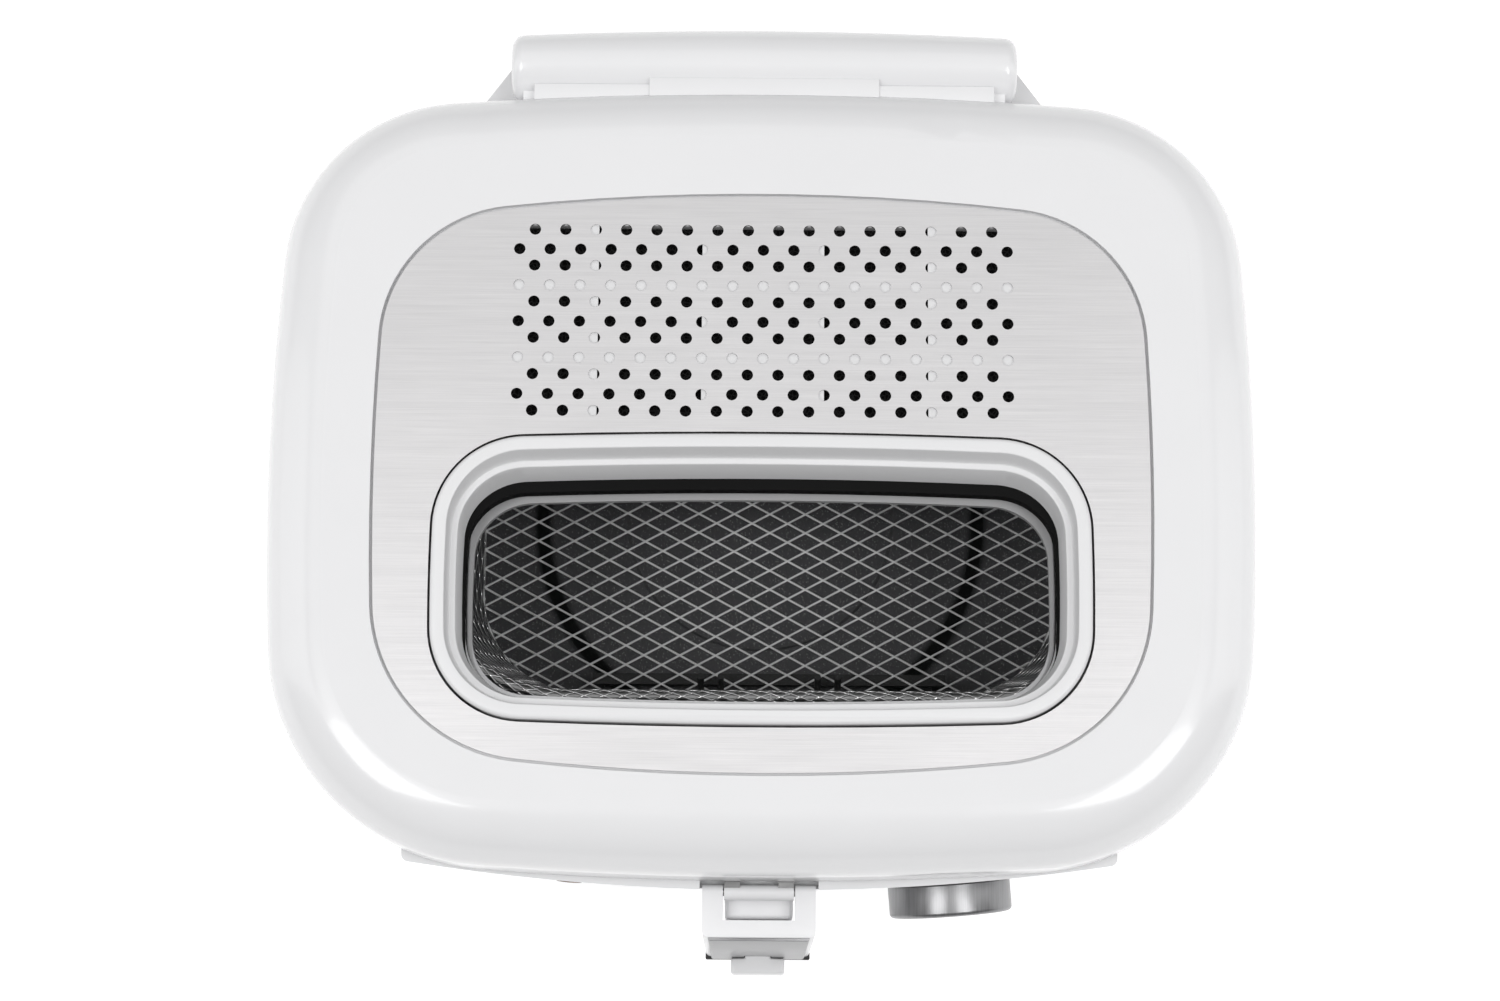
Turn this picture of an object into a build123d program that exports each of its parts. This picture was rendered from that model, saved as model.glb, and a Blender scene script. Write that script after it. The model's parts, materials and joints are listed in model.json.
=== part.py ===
# Table-top deep fryer: hinged lid with window and filter, mesh basket, folding basket handle
import os
from math import asin, cos, radians, sin, tan
from build123d import *

os.makedirs("parts", exist_ok=True)

# Lid outline, bowed on all four sides
lid_width = 325.0
lid_depth = 263.0
lid_side_bow = 8.2
lid_end_bow = 9.2
lid_rear_radius = 60.0
lid_front_radius = 75.0
lid_height = 34.0
lid_wall = 2.6
lid_top_wall = 4.2
lid_roll_radius = 20.0
parting_gap = 0.6

# Housing and base
housing_height = 190.0
housing_wall = 3.0
housing_draft = 7.0
lid_overhang = 2.0
base_thickness = 3.0
vent_count = 9
vent_spacing = 14.0
vent_length = 60.0
vent_width = 5.0
foot_height = 6.0
foot_diameter = 20.0
foot_inset = 24.0
post_diameter = 10.0
post_height = 34.0
post_inset = 12.0
screw_diameter = 4.0
screw_head_diameter = 7.5
screw_head_height = 2.4
screw_bite = 12.0
gland_inset = 84.5
gland_height = 34.0
gland_diameter = 14.0
gland_bore = 7.5
gland_flange = 4.0

# Control panel on the front
panel_inset = 45.5
panel_bow = 9.0
panel_stand_off = 5.0
panel_height = 98.0
panel_edge_radius = 2.5

# Pot, deck and heat shield
deck_drop = 5.5
deck_thickness = 3.0
pot_margin_x = 33.5
pot_margin_y = 31.0
pot_y = 11.0
pot_bow = 5.0
pot_corner_radius = 50.0
pot_draft = 6.0
pot_height = 113.0
pot_wall = 2.0
pot_floor_thickness = 3.0
pot_floor_radius = 8.0
pot_flange_width = 8.0
pot_flange_thickness = 2.5
pot_ring_outer = 78.0
pot_ring_inner = 48.0
pot_ring_rise = 2.6
pot_ring_slope = 4.5
pot_ring_step = 1.2
shield_gap = 5.0
shield_wall = 0.8
shield_floor_gap = 20.0
shield_flange_width = 7.0
heater_plate_diameter = 150.0
heater_plate_thickness = 5.0
element_radius = 58.0
element_tube = 8.0
element_sweep = 320.0
heater_post_diameter = 8.0
heater_post_circle = 68.0
cutout_diameter = 16.0
cutout_height = 8.0
terminal_width = 34.0
terminal_depth = 18.0
terminal_height = 14.0

# Steel plate and its perforations
plate_margin_x = 36.75
plate_margin_y = 36.35
plate_shift = -4.9
plate_side_bow = 4.0
plate_end_bow = 10.0
plate_rear_radius = 45.0
plate_front_radius = 52.0
plate_thickness = 1.0
plate_sink = 0.6
plate_gap = 1.0
plate_ledge = 4.0
hole_diameter = 4.0
hole_spacing = 10.0
hole_row_spacing = 6.1
hole_row_skew = 0.28
hole_rows = 11
holes_in_wide_row = 17
hole_field_rear = 42.25
hole_sides = 8

# Filter under the perforations
filter_margin = 4.0
filter_corner = 10.0
filter_pad_thickness = 12.0
filter_wall = 1.2
grille_thickness = 4.0
grille_rib = 3.0
grille_rib_spacing = 37.0
grille_bar = 4.6
grille_bar_rows = 4
steam_slot_width = 8.0
steam_slot_margin = 10.0
steam_slot_spacing = 30.0

# Window
window_margin_x = 19.25
window_depth = 95.0
window_front_margin = 15.35
window_side_bow = 1.5
window_end_bow = 2.5
window_radius = 30.0
bezel_rise = 1.4
bezel_lip = 4.6
bezel_step_depth = 8.0
bezel_ledge = 3.0
bezel_well_draft = 7.0
bezel_edge_radius = 1.6
glass_thickness = 3.5
seal_thickness = 1.5
window_gap = 0.8

# Inner lid and gasket
inner_lid_inset = 9.0
inner_lid_thickness = 2.0
inner_lid_step = 1.6
gasket_height = 7.0
gasket_width = 6.0
lid_seat_gap = 0.3
boss_diameter = 9.0
boss_inset_x = 22.5
boss_inset_rear = 71.5
boss_inset_front = 75.5

# Rear hinge
cover_inset = 77.5
cover_radius = 12.5
cover_wall = 2.2
cover_end_radius = 4.0
cover_rear_angle = 5.0
cover_lap = 2.0
hinge_rise = 12.9
hinge_pin_diameter = 5.0
ear_inset = 25.0
ear_thickness = 6.0
ear_radius = 7.5
rib_disc_inset = 1.0
rib_offset = 9.0
rib_thickness = 4.0
pin_reach = 32.0
strip_inset = 8.0
strip_height = 10.5
strip_thickness = 4.0
strip_rib_rise = 1.0
bracket_flare = 12.0
bracket_rear_inset = 3.0
bracket_height = 58.0
bracket_setback = 2.5
spring_wire = 1.2
spring_turns = 4
running_gap = 0.06
overlap = 1.0  # how far cuts run past a face, and joined blocks into each other
edge_reach = 0.1  # how near to a face an edge counts as lying on it

# Basket
basket_x = 3.5
basket_shift = 7.0
basket_margin_x = 25.0
basket_margin_y = 27.0
basket_corner = 36.0
basket_height = 94.0
basket_draft = 9.0
basket_lift = 14.0
mesh_thickness = 1.2
mesh_cell_long = 31.0
mesh_cell_short = 17.0
mesh_strand = 2.2
mesh_border = 3.0
rim_wire = 4.0
skid_wire = 4.0
skid_margin = 5.5
skid_end_margin = 42.0

# Handle, its pivot and the straps that carry it
strap_thickness = 1.6
strap_spacing = 44.0
strap_width = 6.0
strap_arm_inner = 6.3
strap_arm_width = 5.0
strap_leg = 80.0
barrel_radius = 2.6
barrel_half_length = 11.4
handle_pin_diameter = 2.6
pivot_clearance = 0.7
handle_width = 37.2
handle_arm_width = 6.8
handle_reach = 9.2
handle_thickness = 5.5
handle_length = 108.0
handle_edge_radius = 2.0
trim_thickness = 1.0
trim_edge_flat = 0.1
trim_top_margin = 4.0
end_cap_height = 6.0
slide_width = 19.0
slide_height = 11.0
slide_reach = 5.5
slide_travel = 6.0
slide_guide_width = 9.0
slide_guide_depth = 2.4
slide_gap = 0.35
slide_edge_radius = 1.2
pin_end_wall = 1.2

# Lid release
button_half_width = 11.2
button_height = 18.0
button_drop = 1.9
button_travel = 4.0
button_gap = 0.8
button_edge_radius = 1.6
stem_half_width = 6.0
stem_height = 6.0
stem_setback = 5.0
hook_half_width = 5.0
hook_thickness = 4.0
hook_nose = 3.5
hook_rise = 7.0
catch_thickness = 1.8
latch_gap = 0.4
release_spring_diameter = 7.0
release_spring_length = 17.0
shelf_thickness = 3.0

# Knob, thermostat and lamp
knob_inset = 53.4
knob_drop = 31.0
knob_diameter = 41.0
knob_height = 10.5
knob_gap = 0.8
knob_edge_radius = 1.5
pointer_width = 1.6
pointer_depth = 0.6
shaft_diameter = 6.0
thermostat_boss_diameter = 30.0
thermostat_set_back = 11.0
thermostat_size = 30.0
thermostat_length = 14.0
lamp_diameter = 10.0
lamp_dome = 1.6
lamp_edge_flat = 0.32

# Sizes that follow from the lid's width and depth
panel_half_width = lid_width / 2 - panel_inset
knob_x = panel_half_width - knob_inset
gland_x = lid_width / 2 - gland_inset
pot_width = lid_width - 2 * pot_margin_x
pot_depth = lid_depth - 2 * pot_margin_y
plate_width = lid_width - 2 * plate_margin_x
plate_depth = lid_depth - 2 * plate_margin_y
window_width = plate_width - 2 * window_margin_x
window_y = plate_shift - plate_depth / 2 + window_front_margin + window_depth / 2
hole_field_y = plate_shift + plate_depth / 2 - hole_field_rear
boss_x = lid_width / 2 - boss_inset_x
boss_rear_y = lid_depth / 2 - boss_inset_rear
boss_front_y = boss_inset_front - lid_depth / 2
cover_length = lid_width - 2 * cover_inset
strip_half_length = cover_length / 2 - strip_inset
ear_x = cover_length / 2 - ear_inset
rib_x = ear_x - rib_offset
pin_inner_x = ear_x - pin_reach
bracket_half_width = cover_length / 2 + bracket_flare
bracket_rear_half_width = cover_length / 2 - bracket_rear_inset
basket_width = pot_width - 2 * basket_margin_x
basket_depth = pot_depth - 2 * basket_margin_y
basket_y = pot_y + basket_shift

# Heights that follow from the sizes above
rim_z = foot_height + housing_height
lid_bottom = rim_z + parting_gap
lid_top = lid_bottom + lid_height
deck_top = rim_z - deck_drop
deck_bottom = deck_top - deck_thickness
pot_rim_z = deck_top + pot_flange_thickness
pot_floor_z = pot_rim_z - pot_height
gasket_bottom = pot_rim_z + lid_seat_gap
inner_lid_bottom = gasket_bottom + gasket_height
inner_lid_top = inner_lid_bottom + inner_lid_thickness
plate_top = lid_top - plate_sink
plate_bottom = plate_top - plate_thickness
strap_bottom = pot_rim_z
strap_top = strap_bottom + strap_thickness
pivot_z = strap_top - barrel_radius
pivot_y = -(lid_depth / 2 + pivot_clearance + barrel_radius)
hinge_y = lid_depth / 2 + cover_radius - cover_lap
hinge_z = lid_bottom + hinge_rise
panel_reach = lid_depth / 2 - lid_overhang + panel_stand_off


def grown(shape, distance):
    # Four bowed sides with round corners, moved outward by the distance
    width, depth, side_bow, end_bow, rear_radius, front_radius, shift = shape
    half_width = width / 2 + distance
    half_depth = depth / 2 + distance
    corner_x = half_width - side_bow
    corner_y = half_depth - end_bow
    front = ThreePointArc((-corner_x, -corner_y), (0, -half_depth), (corner_x, -corner_y))
    right = ThreePointArc((corner_x, -corner_y), (half_width, 0), (corner_x, corner_y))
    rear = ThreePointArc((corner_x, corner_y), (0, half_depth), (-corner_x, corner_y))
    left = ThreePointArc((-corner_x, corner_y), (-half_width, 0), (-corner_x, -corner_y))
    outline = make_face([front, right, rear, left])
    rear_corners = outline.vertices().filter_by(lambda v: v.Y > 0)
    outline = fillet(rear_corners, rear_radius + distance)
    front_corners = outline.vertices().filter_by(lambda v: v.Y < 0)
    return Pos(0, shift) * fillet(front_corners, front_radius + distance)


def at_height(outline, z):
    return Pos(0, 0, z) * outline


def prism(outline, z_low, z_high):
    return extrude(at_height(outline, z_low), z_high - z_low)


def tapered(shape, distance, z_top, z_low, draft):
    # Walls lean in from the outline grown by the distance at the top
    inset = (z_top - z_low) * tan(radians(draft))
    top = at_height(grown(shape, distance), z_top)
    low = at_height(grown(shape, distance - inset), z_low)
    return loft([top, low], ruled=True)


def block(x_low, x_high, y_low, y_high, z_low, z_high):
    size = Box(x_high - x_low, y_high - y_low, z_high - z_low)
    return Pos((x_low + x_high) / 2, (y_low + y_high) / 2, (z_low + z_high) / 2) * size


def rod_along_x(radius, x_low, x_high, y, z):
    rod = Rot(0, 90, 0) * Cylinder(radius, x_high - x_low)
    return Pos((x_low + x_high) / 2, y, z) * rod


def rod_along_z(radius, x, y, z_low, z_high):
    return Pos(x, y, (z_low + z_high) / 2) * Cylinder(radius, z_high - z_low)


def side_profile(sketch, x_low, x_high):
    # The sketch is drawn with the object's Y and Z as its two directions
    return Pos(x_low, 0, 0) * extrude(Plane.YZ * sketch, x_high - x_low)


def save(node, shape):
    export_step(shape, f"parts/{node}.step")


# Outlines shared by several pieces
lid_shape = (lid_width, lid_depth, lid_side_bow, lid_end_bow, lid_rear_radius, lid_front_radius, 0)
plate_shape = (
    plate_width,
    plate_depth,
    plate_side_bow,
    plate_end_bow,
    plate_rear_radius,
    plate_front_radius,
    plate_shift,
)
window_shape = (
    window_width, window_depth, window_side_bow, window_end_bow, window_radius, window_radius, window_y
)
pot_shape = (pot_width, pot_depth, pot_bow, pot_bow, pot_corner_radius, pot_corner_radius, pot_y)
rim_inset = lid_overhang
cavity_inset = lid_overhang + housing_wall
base_inset = cavity_inset + housing_height * tan(radians(housing_draft))
housing_form = tapered(lid_shape, -rim_inset, rim_z, foot_height, housing_draft)
housing_cavity = tapered(lid_shape, -cavity_inset, rim_z, foot_height, housing_draft)


# Control panel: a bowed slab that stands off the housing's front
def panel_section(z):
    front = -panel_reach + (rim_z - z) * tan(radians(housing_draft))
    end = front + panel_bow
    back = end + lid_depth / 4
    bow = ThreePointArc((-panel_half_width, end), (0, front), (panel_half_width, end))
    rest = Polyline(
        (panel_half_width, end), (panel_half_width, back), (-panel_half_width, back), (-panel_half_width, end)
    )
    return at_height(make_face([bow, rest]), z)


panel_bottom = rim_z - panel_height
panel_form = loft([panel_section(rim_z), panel_section(panel_bottom)], ruled=True)
panel_front_face = panel_form.faces().sort_by(Axis.Y)[0]
panel_round_edges = panel_front_face.edges().filter_by(lambda e: e.center().Z < rim_z - panel_edge_radius)
panel_form = fillet(panel_round_edges, panel_edge_radius)

# Frames on the panel's surface for the knob and, mirrored, for the lamp
panel_radius = (panel_half_width**2 + panel_bow**2) / (2 * panel_bow)
knob_turn = asin(knob_x / panel_radius)
knob_z = rim_z - knob_drop
knob_y = -panel_reach + knob_drop * tan(radians(housing_draft)) + panel_radius * (1 - cos(knob_turn))


def panel_plane(side):
    lean = radians(housing_draft)
    outward = (side * sin(knob_turn) * cos(lean), -cos(knob_turn) * cos(lean), -sin(lean))
    along = (cos(knob_turn), side * sin(knob_turn), 0)
    return Plane(origin=(side * knob_x, knob_y, knob_z), x_dir=along, z_dir=outward)


knob_plane = panel_plane(1)
lamp_plane = panel_plane(-1)


def on_plane(plane, radius, low, high):
    return plane * (Pos(0, 0, (low + high) / 2) * Cylinder(radius, high - low))


# Openings cut in the front: handle notch, release stem slot, knob shaft, lamp
notch_half_width = handle_width / 2 + button_gap
notch_floor = pivot_z - barrel_radius - button_gap
front_far = pivot_y - handle_reach
notch = block(-notch_half_width, notch_half_width, front_far, -lid_depth / 4, notch_floor, rim_z + overlap)
button_top = pivot_z - barrel_radius - button_drop
button_bottom = button_top - button_height
stem_low = button_bottom + stem_setback
stem_high = stem_low + stem_height
button_front = pivot_y - handle_reach + button_gap
button_rear = -panel_reach - button_gap
hook_rear = -lid_depth / 2 + lid_wall + lid_overhang + hook_nose + 2 * hook_thickness
hook_front = hook_rear - hook_thickness
stem_slot = block(
    -stem_half_width - slide_gap,
    stem_half_width + slide_gap,
    front_far,
    hook_rear,
    stem_low - button_travel - slide_gap,
    stem_high + slide_gap,
)
shaft_hole = on_plane(knob_plane, shaft_diameter / 2 + running_gap, -thermostat_set_back, knob_height)
lamp_hole = on_plane(lamp_plane, lamp_diameter / 2, -thermostat_set_back, knob_height)
front_cuts = [notch, stem_slot, shaft_hole, lamp_hole]

front_panel = panel_form - housing_form - front_cuts
save("front_panel", front_panel)

# Outer housing with screw posts, thermostat boss and the spring shelf
post_x = lid_width / 4
post_rear = lid_depth / 2 - base_inset - post_inset
post_front = -post_rear
post_places = [(-post_x, post_rear), (post_x, post_rear), (-post_x, post_front), (post_x, post_front)]
base_top = foot_height + base_thickness
post_reach = lid_depth / 4
posts = []
for x, y in post_places:
    toward_wall = post_reach if y > 0 else -post_reach
    web_low = min(y, y + toward_wall)
    web_high = max(y, y + toward_wall)
    posts.append(rod_along_z(post_diameter / 2, x, y, base_top, base_top + post_height))
    web_left = x - housing_wall / 2
    web_right = x + housing_wall / 2
    posts.append(block(web_left, web_right, web_low, web_high, base_top, base_top + post_height))
thermostat_boss = on_plane(knob_plane, thermostat_boss_diameter / 2, -thermostat_set_back, 0)
shelf_top = stem_low - release_spring_length
spring_y = (hook_front + hook_rear) / 2
shelf = block(
    -release_spring_diameter,
    release_spring_diameter,
    -lid_depth / 2,
    spring_y + release_spring_diameter,
    shelf_top - shelf_thickness,
    shelf_top,
)
gland_in = lid_overhang + (housing_height - gland_height) * tan(radians(housing_draft))
gland_chord = lid_width / 2 - gland_in - lid_side_bow
gland_bow_radius = (gland_chord**2 + lid_end_bow**2) / (2 * lid_end_bow)
gland_sag = gland_bow_radius - (gland_bow_radius**2 - gland_x**2) ** 0.5
gland_y = lid_depth / 2 - gland_in - gland_sag
gland_z = foot_height + gland_height
gland_hole = Pos(gland_x, gland_y, gland_z) * (Rot(90, 0, 0) * Cylinder(gland_diameter / 2, 6 * housing_wall))
housing_shell = housing_form - housing_cavity
inner_details = (posts[0] + posts[1:] + [thermostat_boss, shelf]) & housing_form
outer_housing = housing_shell + inner_details
post_bores = [
    rod_along_z(screw_diameter / 2, x, y, base_top, base_top + screw_bite + running_gap)
    for x, y in post_places
]
outer_housing = outer_housing - front_cuts - gland_hole - post_bores
save("outer_housing", outer_housing)

# Cord gland in the rear wall
gland_body = Rot(90, 0, 0) * Cylinder(gland_diameter / 2 - running_gap, 4 * housing_wall)
gland_disc = Rot(90, 0, 0) * Cylinder(gland_diameter / 2 + gland_flange, 3 * gland_flange)
gland_collar = Pos(0, gland_flange / 2, 0) * gland_disc
gland_drill = Rot(90, 0, 0) * Cylinder(gland_bore / 2, 10 * housing_wall)
gland_place = Pos(gland_x, gland_y, gland_z)
cord_gland = gland_place * gland_collar - housing_form + gland_place * gland_body - gland_place * gland_drill
save("cord_gland", cord_gland)

# Base plate with vent slots, feet and screws
base_sheet = prism(grown(lid_shape, -cavity_inset), foot_height, base_top) & housing_cavity
vent_slot = SlotOverall(vent_length, vent_width, rotation=90)
vent_slots = [
    extrude(Pos((n - (vent_count - 1) / 2) * vent_spacing, 0, foot_height) * vent_slot, base_thickness)
    for n in range(vent_count)
]
base_holes = [
    rod_along_z(screw_diameter / 2 + running_gap, x, y, foot_height, base_top)
    for x, y in post_places
]
base_plate = base_sheet - vent_slots - base_holes
save("base_plate", base_plate)

foot_x = lid_width / 2 - base_inset - foot_inset
foot_y = lid_depth / 2 - base_inset - 2 * foot_inset
feet = Compound(
    [
        rod_along_z(foot_diameter / 2, x, y, 0, foot_height)
        for x in (-foot_x, foot_x)
        for y in (-foot_y, foot_y)
    ]
)
save("rubber_feet", feet)


def screw(x, y, head_low, length):
    head = rod_along_z(screw_head_diameter / 2, x, y, head_low, head_low + screw_head_height)
    shank_low = head_low + screw_head_height
    return head + rod_along_z(screw_diameter / 2 - running_gap, x, y, shank_low, shank_low + length)


base_screws = Compound(
    [screw(x, y, foot_height - screw_head_height, base_thickness + screw_bite) for x, y in post_places]
)
save("base_screws", base_screws)

# Pot: drafted tub with a flange and a pressed ring in its floor
pot_outer = tapered(pot_shape, pot_wall, pot_rim_z, pot_floor_z - pot_floor_thickness, pot_draft)
pot_inner = tapered(pot_shape, 0, pot_rim_z, pot_floor_z, pot_draft)
pot_outer = fillet(pot_outer.faces().sort_by(Axis.Z)[0].edges(), pot_floor_radius)
pot_inner = fillet(pot_inner.faces().sort_by(Axis.Z)[0].edges(), pot_floor_radius - pot_wall)
pot_flange = prism(grown(pot_shape, pot_flange_width), deck_top, pot_rim_z)
ring_profile = make_face(
    Polyline(
        (pot_ring_inner, 0),
        (pot_ring_inner + pot_ring_step, pot_ring_rise),
        (pot_ring_outer, pot_ring_rise),
        (pot_ring_outer + pot_ring_slope, 0),
        close=True,
    )
)
pot_ring = Pos(0, pot_y, pot_floor_z) * revolve(Plane.XZ * ring_profile, Axis.Z)
inner_pot = pot_outer + pot_flange - pot_inner + pot_ring
save("inner_pot", inner_pot)

# Deck that the pot hangs in
deck_opening = prism(grown(pot_shape, pot_wall + button_gap), deck_bottom, deck_top)
hook_slot = block(
    -hook_half_width - slide_gap,
    hook_half_width + slide_gap,
    hook_front - hook_nose - slide_gap,
    hook_rear + slide_gap,
    deck_bottom,
    deck_top,
)
top_deck = prism(grown(lid_shape, -cavity_inset), deck_bottom, deck_top) & housing_cavity
top_deck = top_deck - deck_opening - hook_slot - notch
save("top_deck", top_deck)

# Heat shield hung below the deck
shield_out = pot_wall + shield_gap
shield_floor = pot_floor_z - pot_floor_thickness - shield_floor_gap
shield_outer = tapered(pot_shape, shield_out, deck_bottom, shield_floor, pot_draft)
shield_inner = tapered(pot_shape, shield_out - shield_wall, deck_bottom, shield_floor + shield_wall, pot_draft)
shield_flange = grown(pot_shape, shield_out + shield_flange_width) - grown(pot_shape, shield_out - shield_wall)
shield_flange = prism(shield_flange, deck_bottom - shield_wall, deck_bottom)
shield_flange = shield_flange & housing_cavity
terminal_holes = [
    rod_along_z(
        element_tube,
        element_radius * cos(a),
        pot_y - element_radius * sin(a),
        shield_floor,
        pot_floor_z,
    )
    for a in (radians(90 - (360 - element_sweep) / 2), radians(90 + (360 - element_sweep) / 2))
]
heat_shield = shield_outer - shield_inner + shield_flange
heat_shield = heat_shield - terminal_holes - thermostat_boss
save("heat_shield", heat_shield)

# Heater plate pressed against the pot, with its ring element and posts
heater_top = pot_floor_z - pot_floor_thickness
heater_low = heater_top - heater_plate_thickness
element_z = heater_low - element_tube / 4
ring_start = 270 + (360 - element_sweep) / 2
ring_path = Pos(0, pot_y, element_z) * CenterArc((0, 0), element_radius, ring_start, element_sweep)
ring_tube = sweep(Plane(ring_path @ 0, z_dir=ring_path % 0) * Circle(element_tube / 2), path=ring_path)
ring_ends = [ring_path @ 0, ring_path @ 1]
element_legs = [
    rod_along_z(element_tube / 2, p.X, p.Y, shield_floor - cutout_height, element_z)
    for p in ring_ends
]
heating_element = ring_tube + element_legs
save("heating_element", heating_element)

heater_disc = rod_along_z(heater_plate_diameter / 2, 0, pot_y, heater_low, heater_top)
heater_plate = heater_disc - heating_element
save("heater_plate", heater_plate)

heater_posts = Compound(
    [
        rod_along_z(
            heater_post_diameter / 2,
            heater_post_circle * cos(radians(a)),
            pot_y + heater_post_circle * sin(radians(a)),
            shield_floor + shield_wall,
            heater_low,
        )
        for a in (30, 150, 225, 315)
    ]
)
save("heater_posts", heater_posts)
save("thermal_cutout", rod_along_z(cutout_diameter / 2, 0, pot_y, shield_floor - cutout_height, shield_floor))
terminal_y = gland_y - 3 * gland_diameter
terminal_block = block(
    gland_x - terminal_width / 2,
    gland_x + terminal_width / 2,
    terminal_y - terminal_depth / 2,
    terminal_y + terminal_depth / 2,
    base_top,
    base_top + terminal_height,
)
terminal_middle = base_top + terminal_height / 2
terminal_top = base_top + terminal_height
terminal_screws = [
    rod_along_z(screw_diameter / 2, gland_x + x, terminal_y + y, terminal_middle, terminal_top)
    for x in (-terminal_width / 3, 0, terminal_width / 3)
    for y in (-terminal_depth / 4, terminal_depth / 4)
]
save("terminal_block", terminal_block - terminal_screws)

# Lid shell: a bowed block with one large rolled edge, hollowed to an even wall
def lid_solid(skin, top_drop, z_low):
    body = prism(grown(lid_shape, -skin), z_low, lid_top - top_drop)
    return fillet(body.faces().sort_by(Axis.Z)[-1].edges(), lid_roll_radius - skin)


lid_form = lid_solid(0, 0, lid_bottom)
lid_cavity = lid_solid(lid_wall, lid_top_wall, lid_bottom - parting_gap)
recess = prism(grown(plate_shape, plate_gap), plate_bottom, lid_top + overlap)
plate_opening = prism(grown(plate_shape, -plate_ledge), inner_lid_top, lid_top)
shadow_groove = grown(plate_shape, plate_gap) - grown(plate_shape, -plate_gap)
shadow_groove = prism(shadow_groove, plate_bottom - plate_thickness, plate_bottom)
boss_places = [(x, y) for x in (-boss_x, boss_x) for y in (boss_front_y, boss_rear_y)]
bosses = [rod_along_z(boss_diameter / 2, x, y, inner_lid_top, lid_top) & lid_form for x, y in boss_places]
boss_bores = [
    rod_along_z(screw_diameter / 2, x, y, inner_lid_top, inner_lid_top + screw_bite)
    for x, y in boss_places
]
lid_shell = lid_form - lid_cavity + bosses
lid_shell = lid_shell - recess - plate_opening - shadow_groove - boss_bores
save("lid_shell", lid_shell)

# Perforated steel plate
window_cut = grown(window_shape, window_gap)
hole_places = []
for row in range(hole_rows):
    wide = row % 2 == 1
    count = holes_in_wide_row if wide else holes_in_wide_row - 1
    skew = -hole_row_skew if wide else hole_row_skew
    row_y = hole_field_y + (row - (hole_rows - 1) / 2) * hole_row_spacing + skew
    for place in range(count):
        hole_places.append(((place - (count - 1) / 2) * hole_spacing, row_y))
holes = Sketch() + [Pos(x, y) * RegularPolygon(hole_diameter / 2, hole_sides) for x, y in hole_places]
lid_plate = prism(grown(plate_shape, 0) - window_cut - holes, plate_bottom, plate_top)
save("lid_plate", lid_plate)

# Filter: tray on the inner lid, pad and ribbed grille under the holes
filter_width = (holes_in_wide_row - 1) * hole_spacing + hole_diameter + 2 * filter_margin
filter_depth = (hole_rows - 1) * hole_row_spacing + hole_diameter + 2 * filter_wall
grille_bottom = plate_bottom - grille_thickness
pad_bottom = grille_bottom - filter_pad_thickness
filter_place = Pos(0, hole_field_y)
tray_outside = filter_place * RectangleRounded(filter_width, filter_depth, filter_corner)
tray_inside = filter_place * RectangleRounded(
    filter_width - 2 * filter_wall, filter_depth - 2 * filter_wall, filter_corner - filter_wall
)
tray_walls = prism(tray_outside - tray_inside, inner_lid_top, grille_bottom)
slot_count = int(filter_width / steam_slot_spacing)
steam_slot = SlotOverall(filter_depth - 2 * steam_slot_margin, steam_slot_width, rotation=90)
steam_slots = [
    filter_place * Pos((n - (slot_count - 1) / 2) * steam_slot_spacing, 0) * steam_slot
    for n in range(slot_count)
]
tray_floor = prism(tray_inside - steam_slots, pad_bottom - filter_wall, pad_bottom)
filter_tray = tray_walls + tray_floor
save("filter_tray", filter_tray)
save("filter_pad", prism(tray_inside, pad_bottom, grille_bottom))

grille = tray_outside - tray_inside
for n in (-1.5, -0.5, 0.5, 1.5):
    grille += filter_place * Pos(n * grille_rib_spacing, 0) * Rectangle(grille_rib, filter_depth)
for n in (-0.5, 0.5):
    bar_y = n * grille_bar_rows * hole_row_spacing
    grille += filter_place * Pos(0, bar_y) * Rectangle(filter_width, grille_bar)
save("filter_grille", prism(grille, grille_bottom, plate_bottom))

# Window: seal, glass and stepped bezel that stands on the glass
seal_top = inner_lid_top + seal_thickness
glass_top = seal_top + glass_thickness
bezel_top = lid_top + bezel_rise
well_top = bezel_top - bezel_step_depth
well_inset = bezel_lip + bezel_ledge
opening_inset = well_inset + (well_top - glass_top) * tan(radians(bezel_well_draft))
window_opening = grown(window_shape, -opening_inset)
bezel_body = prism(grown(window_shape, 0), glass_top, bezel_top)
bezel_body = fillet(bezel_body.faces().sort_by(Axis.Z)[-1].edges(), bezel_edge_radius)
bezel_step = tapered(window_shape, -bezel_lip, bezel_top, well_top, bezel_well_draft)
bezel_well = tapered(window_shape, -well_inset, well_top, glass_top, bezel_well_draft)
window_bezel = bezel_body - bezel_step - bezel_well
save("window_bezel", window_bezel)
save("window_glass", prism(grown(window_shape, 0), seal_top, glass_top))
save("window_seal", prism(grown(window_shape, 0) - window_opening, inner_lid_top, seal_top))

# Inner lid, gasket and screws
latch_cut = block(
    -2 * hook_half_width,
    2 * hook_half_width,
    -lid_depth,
    hook_rear + 2 * hook_thickness,
    inner_lid_bottom,
    inner_lid_top,
)
inner_opening = grown(window_shape, -opening_inset - inner_lid_step)
inner_lid = prism(grown(lid_shape, -inner_lid_inset) - inner_opening, inner_lid_bottom, inner_lid_top)
steam_cuts = [prism(slot, inner_lid_bottom, inner_lid_top) for slot in steam_slots]
inner_lid_bores = [
    rod_along_z(screw_diameter / 2 + running_gap, x, y, inner_lid_bottom, inner_lid_top)
    for x, y in boss_places
]
inner_lid = inner_lid - latch_cut - steam_cuts - inner_lid_bores
save("inner_lid", inner_lid)

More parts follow.
